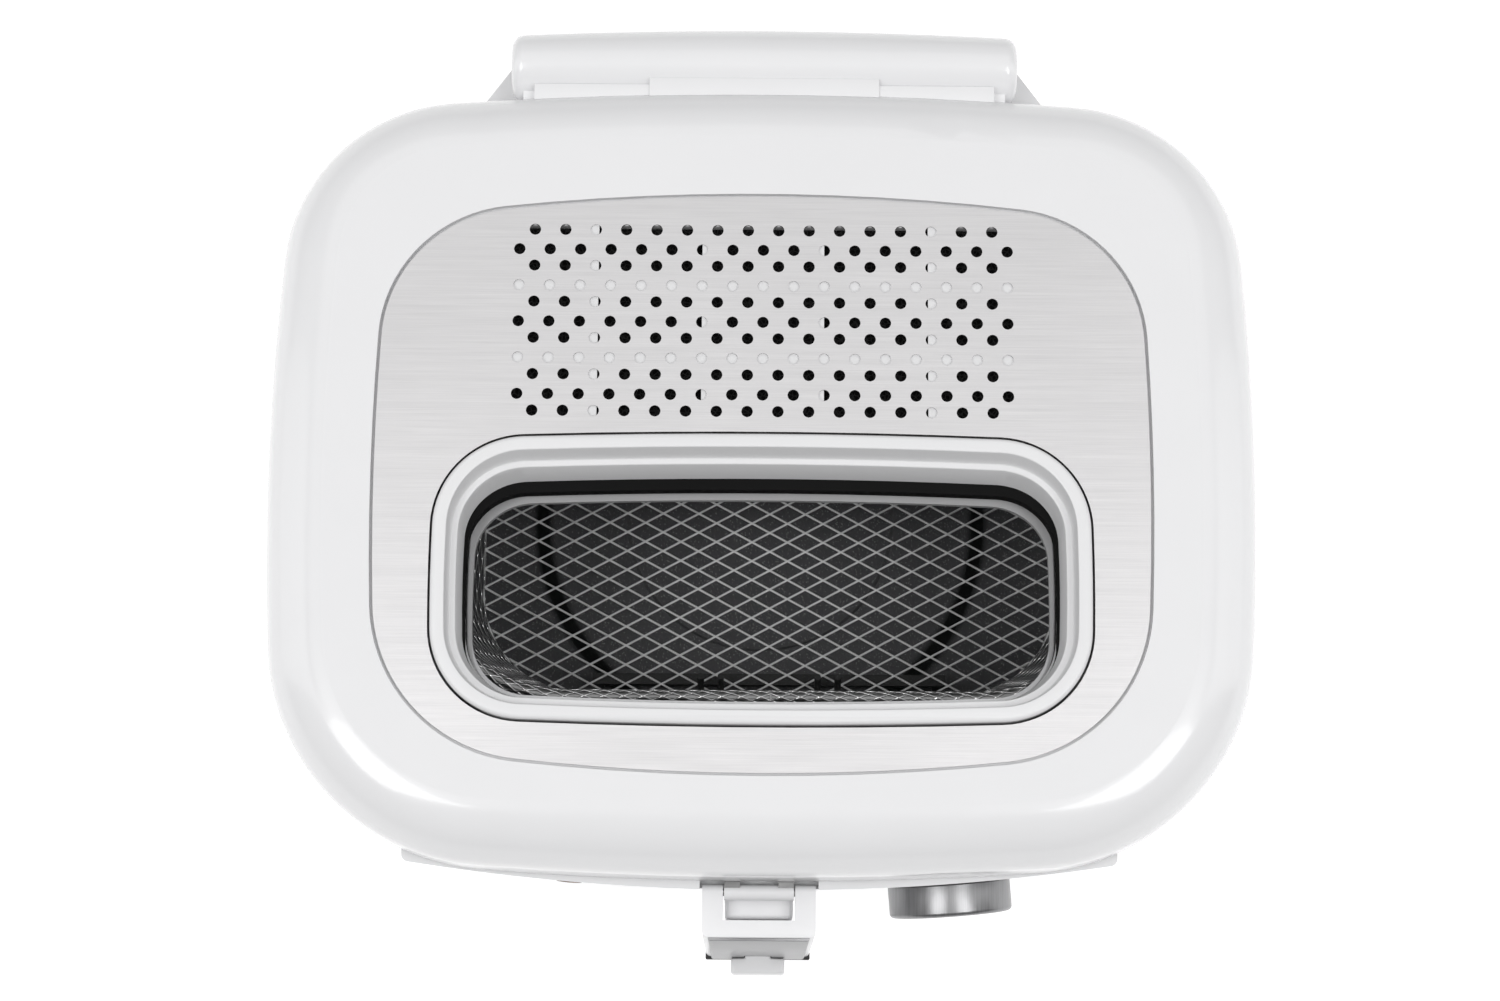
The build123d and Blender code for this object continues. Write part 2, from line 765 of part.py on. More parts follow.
strap_half_span = strap_spacing / 2 + strap_width / 2
strap_notch = block(
    basket_x - strap_half_span - button_gap,
    basket_x + strap_half_span + button_gap,
    -lid_depth,
    pot_y,
    gasket_bottom,
    strap_top + 2 * lid_seat_gap,
)
gasket_outside = grown(pot_shape, plate_gap + gasket_width)
gasket_inside = grown(pot_shape, plate_gap)
lid_gasket = prism(gasket_outside - gasket_inside, gasket_bottom, inner_lid_bottom) - strap_notch
save("lid_gasket", lid_gasket)
lid_screws = Compound(
    [
        screw(x, y, inner_lid_bottom - screw_head_height, inner_lid_thickness + screw_bite)
        for x, y in boss_places
    ]
)
save("lid_screws", lid_screws)

# Hinge cover: half barrel on the lid, closed at its ends, with bearing ribs inside
hinge_place = Pos(0, hinge_y, hinge_z)
below_hinge = Pos(0, -cover_radius) * Rectangle(4 * cover_radius, 2 * cover_radius)
cover_sector = Circle(cover_radius) - below_hinge
rear_lip = Rot(0, 0, -cover_rear_angle) * cover_sector
cover_sector = cover_sector + rear_lip
barrel_form = hinge_place * side_profile(cover_sector, -cover_length / 2, cover_length / 2)
barrel_ends = barrel_form.edges().filter_by(GeomType.CIRCLE).filter_by(lambda e: e.length > 2 * cover_radius)
barrel_form = fillet(barrel_ends, cover_end_radius)
web = block(
    -cover_length / 2 + cover_end_radius,
    cover_length / 2 - cover_end_radius,
    lid_depth / 2 - lid_end_bow,
    hinge_y,
    hinge_z - cover_wall,
    hinge_z + cover_radius / 2,
)
strip_top = hinge_z + strip_height
strip_rear = lid_depth / 2 + strip_thickness / 4
strip_front = strip_rear - 2 * strip_thickness
strip = block(-strip_half_length, strip_half_length, strip_front, strip_rear, hinge_z, strip_top)
strip_rib = block(
    -strip_half_length / 2,
    strip_half_length / 2,
    strip_front,
    strip_rear + strip_thickness / 2,
    hinge_z,
    strip_top + strip_rib_rise,
)
hollow_half = cover_length / 2 - cover_end_radius
cover_hollow = rod_along_x(cover_radius - cover_wall, -hollow_half, hollow_half, hinge_y, hinge_z)
hinge_cover = barrel_form + web + strip + strip_rib - cover_hollow
rib_disc = Circle(ear_radius - rib_disc_inset)
rib_half = Circle(cover_radius - cover_wall / 2) - below_hinge
rib_profile = rib_disc + rib_half - Circle(hinge_pin_diameter / 2 + running_gap)
for side in (-1, 1):
    rib_low = side * rib_x - rib_thickness / 2
    hinge_cover += hinge_place * side_profile(rib_profile, rib_low, rib_low + rib_thickness)
hinge_cover = hinge_cover - lid_form
save("hinge_cover", hinge_cover)

# Hinge bracket: buttress on the rear wall with two ears that hold the pins
bracket_rear = hinge_y + cover_radius - bracket_setback
bracket_front = lid_depth / 4
bracket_low_z = rim_z - bracket_height
bracket_foot = gland_y + (bracket_low_z - gland_z) * tan(radians(housing_draft))
bracket_profile = make_face(
    Polyline(
        (bracket_front, rim_z),
        (bracket_rear, rim_z),
        (bracket_rear, rim_z - cover_radius),
        (bracket_foot, bracket_low_z),
        (bracket_front, bracket_low_z),
        close=True,
    )
)
bracket_plan = prism(make_face(
    Polyline(
        (-bracket_half_width, bracket_front),
        (bracket_half_width, bracket_front),
        (bracket_half_width, lid_depth / 2),
        (bracket_rear_half_width, bracket_rear),
        (-bracket_rear_half_width, bracket_rear),
        (-bracket_half_width, lid_depth / 2),
        close=True,
    )
), bracket_low_z, rim_z)
buttress = side_profile(bracket_profile, -bracket_half_width, bracket_half_width) & bracket_plan
ear_leg_front = -(cover_radius - cover_wall - button_gap)
ear_leg_rear = -hinge_pin_diameter / 2 + lid_seat_gap
ear_profile = Circle(ear_radius) + make_face(
    Polyline(
        (ear_leg_front, 0),
        (ear_leg_rear, 0),
        (ear_leg_rear, rim_z - hinge_z),
        (ear_leg_front, rim_z - hinge_z),
        close=True,
    )
)
ear_profile = ear_profile - Circle(hinge_pin_diameter / 2)
hinge_bracket = buttress - housing_form
for side in (-1, 1):
    ear_low = side * ear_x - ear_thickness / 2
    hinge_bracket += hinge_place * side_profile(ear_profile, ear_low, ear_low + ear_thickness)
save("hinge_bracket", hinge_bracket)

pin_outer_x = ear_x + ear_thickness
hinge_pins = Compound(
    [
        rod_along_x(hinge_pin_diameter / 2, min(a, b), max(a, b), hinge_y, hinge_z)
        for a, b in ((-pin_outer_x, -pin_inner_x), (pin_inner_x, pin_outer_x))
    ]
)
save("hinge_pins", hinge_pins)

spring_radius = hinge_pin_diameter / 2 + spring_wire / 2 + lid_seat_gap
spring_pitch = spring_wire + 2 * lid_seat_gap
coil_path = Helix(spring_pitch, spring_pitch * spring_turns, spring_radius)
coil_section = Rectangle(spring_wire, spring_wire)
coil = sweep(Plane(coil_path @ 0, z_dir=coil_path % 0) * coil_section, path=coil_path, is_frenet=True)
coil_start = rib_x - rib_thickness - spring_pitch * spring_turns
hinge_springs = Compound(
    [
        Pos(coil_start, hinge_y, hinge_z) * (Rot(0, 90, 0) * coil),
        Pos(-coil_start - spring_pitch * spring_turns, hinge_y, hinge_z) * (Rot(0, 90, 0) * coil),
    ]
)
save("hinge_springs", hinge_springs)

# Lid catch on the inside of the front skirt
catch_low = rim_z + hook_rise - hook_thickness - catch_thickness
catch_rear = hook_front - hook_nose - latch_gap
catch_top = catch_low + catch_thickness
catch = block(-hook_half_width, hook_half_width, -lid_depth / 2, catch_rear, catch_low, catch_top)
catch_leg = block(
    -hook_half_width,
    hook_half_width,
    -lid_depth / 2,
    -lid_depth / 2 + lid_wall + 2 * catch_thickness,
    catch_low,
    lid_top - lid_roll_radius,
)
latch_catch = (catch + catch_leg) & lid_cavity
save("latch_catch", latch_catch)

# Release button with its stem and latch hook, one sliding moulding
button_cap = block(-button_half_width, button_half_width, button_front, button_rear, button_bottom, button_top)
cap_edges = button_cap.edges().filter_by(lambda e: e.center().Y < button_rear - overlap)
button_cap = fillet(cap_edges, button_edge_radius)
stem = block(-stem_half_width, stem_half_width, button_rear - overlap, hook_rear, stem_low, stem_high)
hook_top = rim_z + hook_rise
hook_profile = make_face(
    Polyline(
        (hook_rear, stem_low),
        (hook_rear, hook_top),
        (hook_front, hook_top),
        (hook_front - hook_nose, hook_top - hook_thickness + lid_seat_gap),
        (hook_front, hook_top - hook_thickness + lid_seat_gap),
        (hook_front, stem_low),
        close=True,
    )
)
hook = side_profile(hook_profile, -hook_half_width, hook_half_width)
release_button = button_cap + stem + hook
save("release_button", release_button)

release_path = Helix(
    (release_spring_length - spring_wire) / spring_turns,
    release_spring_length - spring_wire,
    (release_spring_diameter - spring_wire) / 2,
)
release_coil = sweep(
    Plane(release_path @ 0, z_dir=release_path % 0) * coil_section, path=release_path, is_frenet=True
)
save("release_spring", Pos(0, spring_y, shelf_top + spring_wire / 2) * release_coil)

# Knob, shaft and thermostat on the panel's leaning surface
knob_profile = Circle(knob_diameter / 2)
knob_body = extrude(Pos(0, 0, knob_gap) * knob_profile, knob_height)
knob_body = fillet(knob_body.faces().sort_by(Axis.Z)[-1].edges(), knob_edge_radius)
pointer_bar = Box(pointer_width, knob_diameter / 4, 2 * pointer_depth)
pointer = Pos(0, knob_diameter / 3, knob_gap + knob_height) * pointer_bar
knob_bore = Pos(0, 0, knob_gap + knob_height / 4) * Cylinder(shaft_diameter / 2, knob_height / 2)
thermostat_knob = knob_plane * (knob_body - pointer - knob_bore)
save("thermostat_knob", thermostat_knob)
shaft_low = -thermostat_set_back - thermostat_length / 2
shaft_high = knob_gap + knob_height / 2
save("thermostat_shaft", on_plane(knob_plane, shaft_diameter / 2, shaft_low, shaft_high))
thermostat_case = Pos(0, 0, -thermostat_set_back - thermostat_length / 2) * Box(
    thermostat_size, thermostat_size, thermostat_length
)
thermostat_bore = Pos(0, 0, -thermostat_set_back - thermostat_length / 4) * Cylinder(
    shaft_diameter / 2 + running_gap, thermostat_length / 2 + 2 * running_gap
)
thermostat_case = fillet(thermostat_case.edges().filter_by(Axis.Z), knob_edge_radius)
save("thermostat_body", knob_plane * (thermostat_case - thermostat_bore))

lamp_body = Pos(0, 0, -thermostat_set_back / 2) * Cylinder(lamp_diameter / 2, thermostat_set_back)
lamp_head = extrude(Circle(lamp_diameter / 2), lamp_dome)
lamp_head = fillet(lamp_head.faces().sort_by(Axis.Z)[-1].edges(), lamp_dome - lamp_edge_flat)
save("pilot_lamp", lamp_plane * (lamp_body + lamp_head))


# Basket: flat expanded-mesh panels, cone-shaped corners, rim wire and skids
def mesh_sketch(outline, width, height):
    cells_x = int((width - 2 * mesh_border) / mesh_cell_long)
    cells_y = int((height - 2 * mesh_border) / mesh_cell_short)
    diamond = make_face(
        Polyline(
            (-mesh_cell_long / 2 + mesh_strand, 0),
            (0, -mesh_cell_short / 2 + mesh_strand / 2),
            (mesh_cell_long / 2 - mesh_strand, 0),
            (0, mesh_cell_short / 2 - mesh_strand / 2),
            close=True,
        )
    )
    places = []
    for columns, rows in ((cells_x, cells_y), (cells_x - 1, cells_y - 1)):
        for column in range(columns):
            for row in range(rows):
                x = (column - (columns - 1) / 2) * mesh_cell_long
                y = (row - (rows - 1) / 2) * mesh_cell_short
                places.append((x, y))
    return outline - [Pos(x, y) * diamond for x, y in places]


basket_floor_z = pot_floor_z + basket_lift
basket_place = Pos(basket_x, basket_y, basket_floor_z)
floor_outline = RectangleRounded(basket_width, basket_depth, basket_corner)
clear_width = basket_width - 2 * basket_corner
clear_depth = basket_depth - 2 * basket_corner
floor_mesh = mesh_sketch(floor_outline, basket_width - basket_corner / 2, basket_depth - basket_corner / 2)
save("basket_floor", basket_place * extrude(floor_mesh, -mesh_thickness))

wall_slant = basket_height / cos(radians(basket_draft))


def wall_plane(reach):
    # The panel's own x runs along the floor edge and its y up the leaning wall
    lean = radians(basket_draft)
    return Plane(origin=(0, -reach, 0), x_dir=(1, 0, 0), z_dir=(0, -cos(lean), -sin(lean)))


def mesh_wall(width, reach, turn):
    panel = Pos(0, wall_slant / 2) * mesh_sketch(Rectangle(width, wall_slant), width, wall_slant)
    return basket_place * Rot(0, 0, turn) * extrude(wall_plane(reach) * panel, -mesh_thickness)


save("basket_front", mesh_wall(clear_width, basket_depth / 2, 0))
save("basket_rear", mesh_wall(clear_width, basket_depth / 2, 180))
save("basket_right", mesh_wall(clear_depth, basket_width / 2, 90))
save("basket_left", mesh_wall(clear_depth, basket_width / 2, 270))

flare = basket_height * tan(radians(basket_draft))
skin = mesh_thickness / cos(radians(basket_draft))
corner_profile = make_face(
    Polyline(
        (basket_corner, 0),
        (basket_corner + flare, basket_height),
        (basket_corner + flare - skin, basket_height),
        (basket_corner - skin, 0),
        close=True,
    )
)
corner_cone = revolve(Plane.XZ * corner_profile, Axis.Z, 90)
corners = [
    basket_place * Pos(side_x * clear_width / 2, side_y * clear_depth / 2, 0) * Rot(0, 0, turn) * corner_cone
    for side_x, side_y, turn in ((1, 1, 0), (-1, 1, 90), (-1, -1, 180), (1, -1, 270))
]
save("basket_corners", Compound(corners))

rim_outline = RectangleRounded(basket_width + 2 * flare, basket_depth + 2 * flare, basket_corner + flare)
rim_lift = basket_height + rim_wire / 2 + mesh_thickness * sin(radians(basket_draft))
rim_path = basket_place * Pos(0, 0, rim_lift) * rim_outline.wire()
basket_rim = sweep(Plane(rim_path @ 0, z_dir=rim_path % 0) * Circle(rim_wire / 2), path=rim_path)
save("basket_rim", basket_rim)

skid_half_length = basket_width / 2 - skid_end_margin
skid_y = basket_depth / 2 - skid_margin
skid_profile = trace(
    Polyline(
        (-skid_half_length, -basket_lift),
        (-skid_half_length, -mesh_thickness - skid_wire / 2),
        (skid_half_length, -mesh_thickness - skid_wire / 2),
        (skid_half_length, -basket_lift),
    ),
    line_width=skid_wire,
)
skid_bar = extrude(Plane.XZ * skid_profile, skid_wire / 2, both=True)
skids = [basket_place * Pos(0, y, 0) * skid_bar for y in (-skid_y, skid_y)]
pot_space = prism(grown(pot_shape, 0), pot_floor_z, pot_rim_z)
save("basket_skids", Compound([skid & pot_space for skid in skids]))

# Straps from the basket's front wall over the pot's rim to the handle
front_y = basket_y - basket_depth / 2
lean = radians(basket_draft)
leg_low_z = basket_floor_z + basket_height - strap_leg
leg_top_z = basket_floor_z + basket_height + rim_wire
leg_low_y = front_y - (leg_low_z - basket_floor_z) * tan(lean) - strap_thickness
leg_top_y = front_y - flare - rim_wire / 2 - strap_thickness
plate_mid_z = strap_bottom + strap_thickness / 2
arm_rear_y = hook_rear + 2 * hook_thickness
strap_path = Polyline(
    (leg_low_y, leg_low_z),
    (leg_top_y, leg_top_z),
    (leg_top_y, plate_mid_z),
    (arm_rear_y, plate_mid_z),
)
strap_profile = trace(strap_path, line_width=strap_thickness)
barrel_rod = rod_along_x(barrel_radius, -barrel_half_length, barrel_half_length, pivot_y, pivot_z)
bridge = block(
    basket_x - strap_half_span,
    basket_x + strap_half_span,
    arm_rear_y,
    arm_rear_y + 2 * strap_width,
    strap_bottom,
    strap_top,
)
basket_bracket = bridge
for side in (-1, 1):
    strap_low = basket_x + side * strap_spacing / 2 - strap_width / 2
    basket_bracket += side_profile(strap_profile, strap_low, strap_low + strap_width)
    arm_low = min(side * strap_arm_inner, side * (strap_arm_inner + strap_arm_width))
    basket_bracket += block(
        arm_low,
        arm_low + strap_arm_width,
        pivot_y + barrel_radius / 2,
        arm_rear_y + strap_width,
        strap_bottom,
        strap_top,
    )
basket_bracket = basket_bracket - barrel_rod
save("basket_bracket", basket_bracket)
barrel_bore_radius = handle_pin_diameter / 2 + running_gap
barrel_bore = rod_along_x(barrel_bore_radius, -barrel_half_length, barrel_half_length, pivot_y, pivot_z)
save("handle_barrel", barrel_rod - barrel_bore)

# Folding handle, hanging down in front of the panel
handle_half = handle_width / 2
core_inner = pivot_y - handle_reach
core_outer = core_inner - handle_thickness
handle_top = pivot_z + barrel_radius
handle_low = pivot_z - handle_length
core = block(-handle_half, handle_half, core_outer, core_inner, handle_low + end_cap_height, handle_top)
arm_inner = handle_half - handle_arm_width
handle_yoke = core
for side in (-1, 1):
    arm_low = min(side * arm_inner, side * handle_half)
    handle_yoke += block(
        arm_low,
        arm_low + handle_arm_width,
        core_inner - overlap,
        pivot_y,
        pivot_z - barrel_radius,
        pivot_z + barrel_radius,
    )
    handle_yoke += rod_along_x(barrel_radius, arm_low, arm_low + handle_arm_width, pivot_y, pivot_z)
pin_end = handle_half - pin_end_wall
pin_bores = rod_along_x(handle_pin_diameter / 2, -pin_end, pin_end, pivot_y, pivot_z)
slide_low = handle_low + end_cap_height + slide_gap
guide_slot_high = slide_low + slide_height + slide_travel + slide_gap
guide_slot = block(
    -slide_guide_width / 2 - slide_gap,
    slide_guide_width / 2 + slide_gap,
    core_outer - trim_thickness,
    core_outer + slide_guide_depth + slide_gap,
    slide_low - slide_gap,
    guide_slot_high,
)
upright_edges = handle_yoke.edges().filter_by(Axis.Z)
outer_edges = upright_edges.filter_by(lambda e: e.center().Y < core_outer + edge_reach)
handle_yoke = fillet(outer_edges, handle_edge_radius)
handle_yoke = handle_yoke - pin_bores - guide_slot
save("handle_yoke", handle_yoke)

trim_half = handle_half - handle_edge_radius
handle_trim = block(
    -trim_half,
    trim_half,
    core_outer - trim_thickness,
    core_outer,
    handle_low + end_cap_height,
    handle_top - trim_top_margin,
)
handle_trim = fillet(
    handle_trim.edges().filter_by(Axis.Z).filter_by(lambda e: e.center().Y < core_outer - trim_thickness / 2),
    trim_thickness - trim_edge_flat,
)
save("handle_trim", handle_trim - guide_slot)

end_cap = block(
    -handle_half,
    handle_half,
    core_outer - trim_thickness,
    core_inner,
    handle_low,
    handle_low + end_cap_height,
)
low_edges = end_cap.edges().filter_by(lambda e: e.center().Z < handle_low + edge_reach)
end_cap = fillet(low_edges, handle_edge_radius)
save("handle_end_cap", end_cap)

handle_pins = Compound(
    [
        rod_along_x(handle_pin_diameter / 2, min(a, b), max(a, b), pivot_y, pivot_z)
        for a, b in ((-pin_end, -strap_arm_inner), (strap_arm_inner, pin_end))
    ]
)
save("handle_pins", handle_pins)

# Thumb slide on the handle's outer face
slide_face = core_outer - trim_thickness - slide_gap
slide_top = slide_low + slide_height
slide_front = slide_face - slide_reach
slide_tab = block(-slide_width / 2, slide_width / 2, slide_front, slide_face, slide_low, slide_top)
tab_edges = slide_tab.edges().filter_by(lambda e: e.center().Y < slide_face - overlap)
slide_tab = fillet(tab_edges, slide_edge_radius)
slide_guide = block(
    -slide_guide_width / 2,
    slide_guide_width / 2,
    slide_face - overlap,
    core_outer + slide_guide_depth,
    slide_low,
    slide_top,
)
save("handle_slide", slide_tab + slide_guide)
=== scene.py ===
import json
import math

import bmesh
import bpy
from mathutils import Matrix, Vector

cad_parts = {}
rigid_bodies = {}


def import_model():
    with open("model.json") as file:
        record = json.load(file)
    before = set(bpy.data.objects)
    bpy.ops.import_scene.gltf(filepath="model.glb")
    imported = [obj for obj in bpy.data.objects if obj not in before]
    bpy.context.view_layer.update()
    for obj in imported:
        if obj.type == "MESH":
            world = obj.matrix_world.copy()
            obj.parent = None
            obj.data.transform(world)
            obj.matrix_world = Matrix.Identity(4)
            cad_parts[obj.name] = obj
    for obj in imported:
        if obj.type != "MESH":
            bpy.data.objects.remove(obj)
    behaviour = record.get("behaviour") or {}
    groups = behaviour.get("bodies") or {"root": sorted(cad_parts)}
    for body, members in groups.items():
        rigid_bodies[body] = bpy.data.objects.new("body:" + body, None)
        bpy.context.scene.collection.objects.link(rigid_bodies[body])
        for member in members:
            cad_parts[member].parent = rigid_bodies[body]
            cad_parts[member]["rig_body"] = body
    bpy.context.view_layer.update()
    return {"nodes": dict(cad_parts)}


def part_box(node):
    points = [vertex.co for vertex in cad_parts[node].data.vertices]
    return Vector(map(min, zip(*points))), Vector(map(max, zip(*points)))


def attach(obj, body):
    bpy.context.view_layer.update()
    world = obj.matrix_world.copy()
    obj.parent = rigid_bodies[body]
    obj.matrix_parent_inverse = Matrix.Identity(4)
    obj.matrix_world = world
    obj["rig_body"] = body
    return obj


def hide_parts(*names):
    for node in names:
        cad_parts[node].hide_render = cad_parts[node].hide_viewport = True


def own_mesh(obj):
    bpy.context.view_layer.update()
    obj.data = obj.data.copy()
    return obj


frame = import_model()
print("frame loaded,", len(frame["nodes"]), "CAD nodes")

scene = bpy.context.scene
mm = 0.001


# shader maths
class Val:  # a socket that can be used in Python expressions
    def __init__(self, finish, socket):
        self.finish = finish
        self.socket = socket

    def maths(self, operation, first, second=0.0):
        return self.finish.node("ShaderNodeMath", {"operation": operation}, {0: first, 1: second})

    def __add__(self, other):
        return self.maths("ADD", self, other)

    def __radd__(self, other):
        return self.maths("ADD", other, self)

    def __sub__(self, other):
        return self.maths("SUBTRACT", self, other)

    def __rsub__(self, other):
        return self.maths("SUBTRACT", other, self)

    def __mul__(self, other):
        return self.maths("MULTIPLY", self, other)

    def __rmul__(self, other):
        return self.maths("MULTIPLY", other, self)

    def __gt__(self, other):
        return self.maths("GREATER_THAN", self, other)

    def __lt__(self, other):
        return self.maths("LESS_THAN", self, other)

    def __abs__(self):
        return self.maths("ABSOLUTE", self)


class Finish:  # one material and its nodes
    def __init__(self, name, **shader):
        self.mat = bpy.data.materials.new(name)
        self.mat.use_nodes = True
        self.tree = self.mat.node_tree
        self.shader = self.tree.nodes["Principled BSDF"]
        for key, value in shader.items():
            self.shader.inputs[key.replace("_", " ")].default_value = value

    def node(self, kind, settings=None, sockets=None, out=0):
        made = self.tree.nodes.new(kind)
        for key, value in (settings or {}).items():
            setattr(made, key, value)
        for key, value in (sockets or {}).items():
            if isinstance(value, Val):
                self.tree.links.new(value.socket, made.inputs[key])
            else:
                made.inputs[key].default_value = value
        return Val(self, made.outputs[out])

    def feed(self, name, value):
        self.tree.links.new(value.socket, self.shader.inputs[name])

    def place(self, scale=(1, 1, 1), turn=(0, 0, 0), shift=(0, 0, 0)):
        here = self.node("ShaderNodeTexCoord", out="Object")
        return self.node(
            "ShaderNodeMapping", None, {"Vector": here, "Scale": scale, "Rotation": turn, "Location": shift}
        )

    def noise(self, where, scale, detail=3.0, rough=0.55):
        return self.node(
            "ShaderNodeTexNoise", None,
            {"Vector": where, "Scale": scale, "Detail": detail, "Roughness": rough},
        )

    def cells(self, feature, scale):
        sockets = {"Vector": self.place(), "Scale": scale}
        return self.node("ShaderNodeTexVoronoi", {"feature": feature}, sockets)

    def blend(self, factor, low, high):  # between two colours, each a socket or three numbers
        low, high = [c if isinstance(c, Val) else (*c, 1) for c in (low, high)]
        return self.node("ShaderNodeMix", {"data_type": "RGBA"}, {"Factor": factor, 6: low, 7: high}, out=2)

    def fade(self, value, start, end):  # 1 at start, smoothly 0 at end
        return self.node(
            "ShaderNodeMapRange", {"interpolation_type": "SMOOTHSTEP"},
            {"Value": value, "From Min": start, "From Max": end, "To Min": 1.0, "To Max": 0.0},
        )

    def bump(self, height, strength, distance):
        sockets = {"Height": height, "Strength": strength, "Distance": distance}
        self.feed("Normal", self.node("ShaderNodeBump", None, sockets))


def grey(value, tint=0.0):
    return (value, value, value * (1 + tint))


# moulded gloss white: faint mould mottle, soft orange peel under a clear skin
glossGrain = {"mottle": 35.0, "cloud": 9.0, "peel": 900.0, "peelDepth": 0.2 * mm, "tint": 0.012}


def glossWhite(name, look):
    f = Finish(name, Specular_IOR_Level=0.5, Coat_Weight=look["skin"], Coat_Roughness=0.06)
    mottle = f.noise(f.place(), glossGrain["mottle"], detail=4.0)
    cloud = f.noise(f.place(shift=(3, 1, 2)), glossGrain["cloud"], detail=2.0)
    low, high = grey(look["low"], glossGrain["tint"]), grey(look["high"], glossGrain["tint"])
    f.feed("Base Color", f.blend(mottle * 0.6 + cloud * 0.4, low, high))
    f.feed("Roughness", look["rough"] + (mottle - 0.5) * 0.08)
    peel = f.noise(f.place(), glossGrain["peel"], detail=2.0)
    f.bump(peel, strength=0.04, distance=glossGrain["peelDepth"])
    return f.mat


lidWhite = glossWhite("lidGlossWhite", {"low": 0.80, "high": 0.84, "rough": 0.22, "skin": 0.35})
bodyWhite = glossWhite("bodyGlossWhite", {"low": 0.78, "high": 0.83, "rough": 0.21, "skin": 0.3})
handleWhite = glossWhite("handleWhite", {"low": 0.82, "high": 0.86, "rough": 0.35, "skin": 0.15})


# satin white moulding: eroded-mould grain
satinGrain = {"grain": 1400.0, "cloud": 14.0, "depth": 0.2 * mm, "tint": 0.01}


def satinWhite(name, look):
    f = Finish(name, Specular_IOR_Level=0.45)
    grain = f.noise(f.place(), satinGrain["grain"], detail=2.0)
    cloud = f.noise(f.place(), satinGrain["cloud"], detail=3.0)
    low, high = grey(look["low"], satinGrain["tint"]), grey(look["high"], satinGrain["tint"])
    f.feed("Base Color", f.blend(cloud, low, high))
    f.feed("Roughness", look["rough"] + (grain - 0.5) * 0.12)
    f.bump(grain, strength=0.1, distance=satinGrain["depth"])
    return f.mat


innerWhite = satinWhite("innerWhite", {"low": 0.74, "high": 0.80, "rough": 0.42})
edgeGrey = satinWhite("edgeGrey", {"low": 0.46, "high": 0.54, "rough": 0.36})
bezelWhite = satinWhite("bezelWhite", {"low": 0.78, "high": 0.82, "rough": 0.34})


# brushed sheet: long fine lines along one direction over slow tone changes
brushLines = {"cloud": 16.0, "lineDepth": 0.2 * mm}


def brushed(name, look):
    f = Finish(name, Metallic=1.0, Specular_IOR_Level=0.5)
    fine = f.noise(f.place(scale=look["fine"]), 1.0, detail=3.0, rough=0.6)
    coarse = f.noise(f.place(scale=look["coarse"], shift=(2, 5, 1)), 1.0, detail=2.0)
    cloud = f.noise(f.place(), brushLines["cloud"], detail=2.0)
    tone = fine * 0.55 + coarse * 0.3 + cloud * 0.15
    f.feed("Base Color", f.blend(tone, look["dark"], look["light"]))
    f.feed("Roughness", look["rough"] + (fine - 0.5) * 0.2)
    f.bump(fine, strength=look["depth"], distance=brushLines["lineDepth"])
    return f.mat


plateSteel = brushed("brushedPlate", {
    "fine": (40, 3800, 3800), "coarse": (12, 700, 700), "rough": 0.36, "depth": 0.12,
    "dark": (0.50, 0.495, 0.50), "light": (0.82, 0.81, 0.815),
})
trimSteel = brushed("brushedTrim", {
    "fine": (40, 40, 3800), "coarse": (12, 12, 700), "rough": 0.38, "depth": 0.1,
    "dark": (0.17, 0.17, 0.175), "light": (0.33, 0.33, 0.335),
})
# turned knob: its dark base colour is painted shade, standing in for dark reflections in the metal
knobMetal = brushed("turnedKnob", {
    "fine": (1800, 60, 60), "coarse": (300, 20, 20), "rough": 0.34, "depth": 0.08,
    "dark": (0.13, 0.13, 0.135), "light": (0.4, 0.4, 0.405),
})
innerSteel = brushed("pressedSheet", {
    "fine": (60, 900, 900), "coarse": (20, 90, 90), "rough": 0.4, "depth": 0.06,
    "dark": (0.5, 0.5, 0.51), "light": (0.66, 0.66, 0.67),
})


# drawn wire and pins: bright with drawing lines and faint dulling
wireLines = {"lines": 700.0, "dulling": 60.0, "depth": 0.1 * mm}


def drawnSteel(name, look):
    f = Finish(name, Metallic=look.get("metal", 1.0))
    lines = f.noise(f.place(), wireLines["lines"], detail=3.0)
    dull = f.noise(f.place(), wireLines["dulling"], detail=3.0)
    f.feed("Base Color", f.blend(dull, grey(look["low"]), grey(look["high"])))
    f.feed("Roughness", look["rough"] + (dull - 0.5) * 0.2)
    f.bump(lines, strength=0.08, distance=wireLines["depth"])
    return f.mat


# floor mesh: its near-white, almost non-metallic colour is a painted sheen standing in for the glints of
# bright wire
meshSteel = drawnSteel("basketMesh", {"low": 0.94, "high": 1.0, "rough": 0.42, "metal": 0.05})
wallSteel = drawnSteel("basketWallMesh", {"low": 0.72, "high": 0.96, "rough": 0.2, "metal": 0.85})
strapSteel = drawnSteel("basketStrap", {"low": 0.2, "high": 0.32, "rough": 0.34})
pinSteel = drawnSteel("pinSteel", {"low": 0.45, "high": 0.6, "rough": 0.3})
screwSteel = drawnSteel("screwSteel", {"low": 0.5, "high": 0.62, "rough": 0.28})
heaterSteel = drawnSteel("heaterSteel", {"low": 0.18, "high": 0.3, "rough": 0.45})
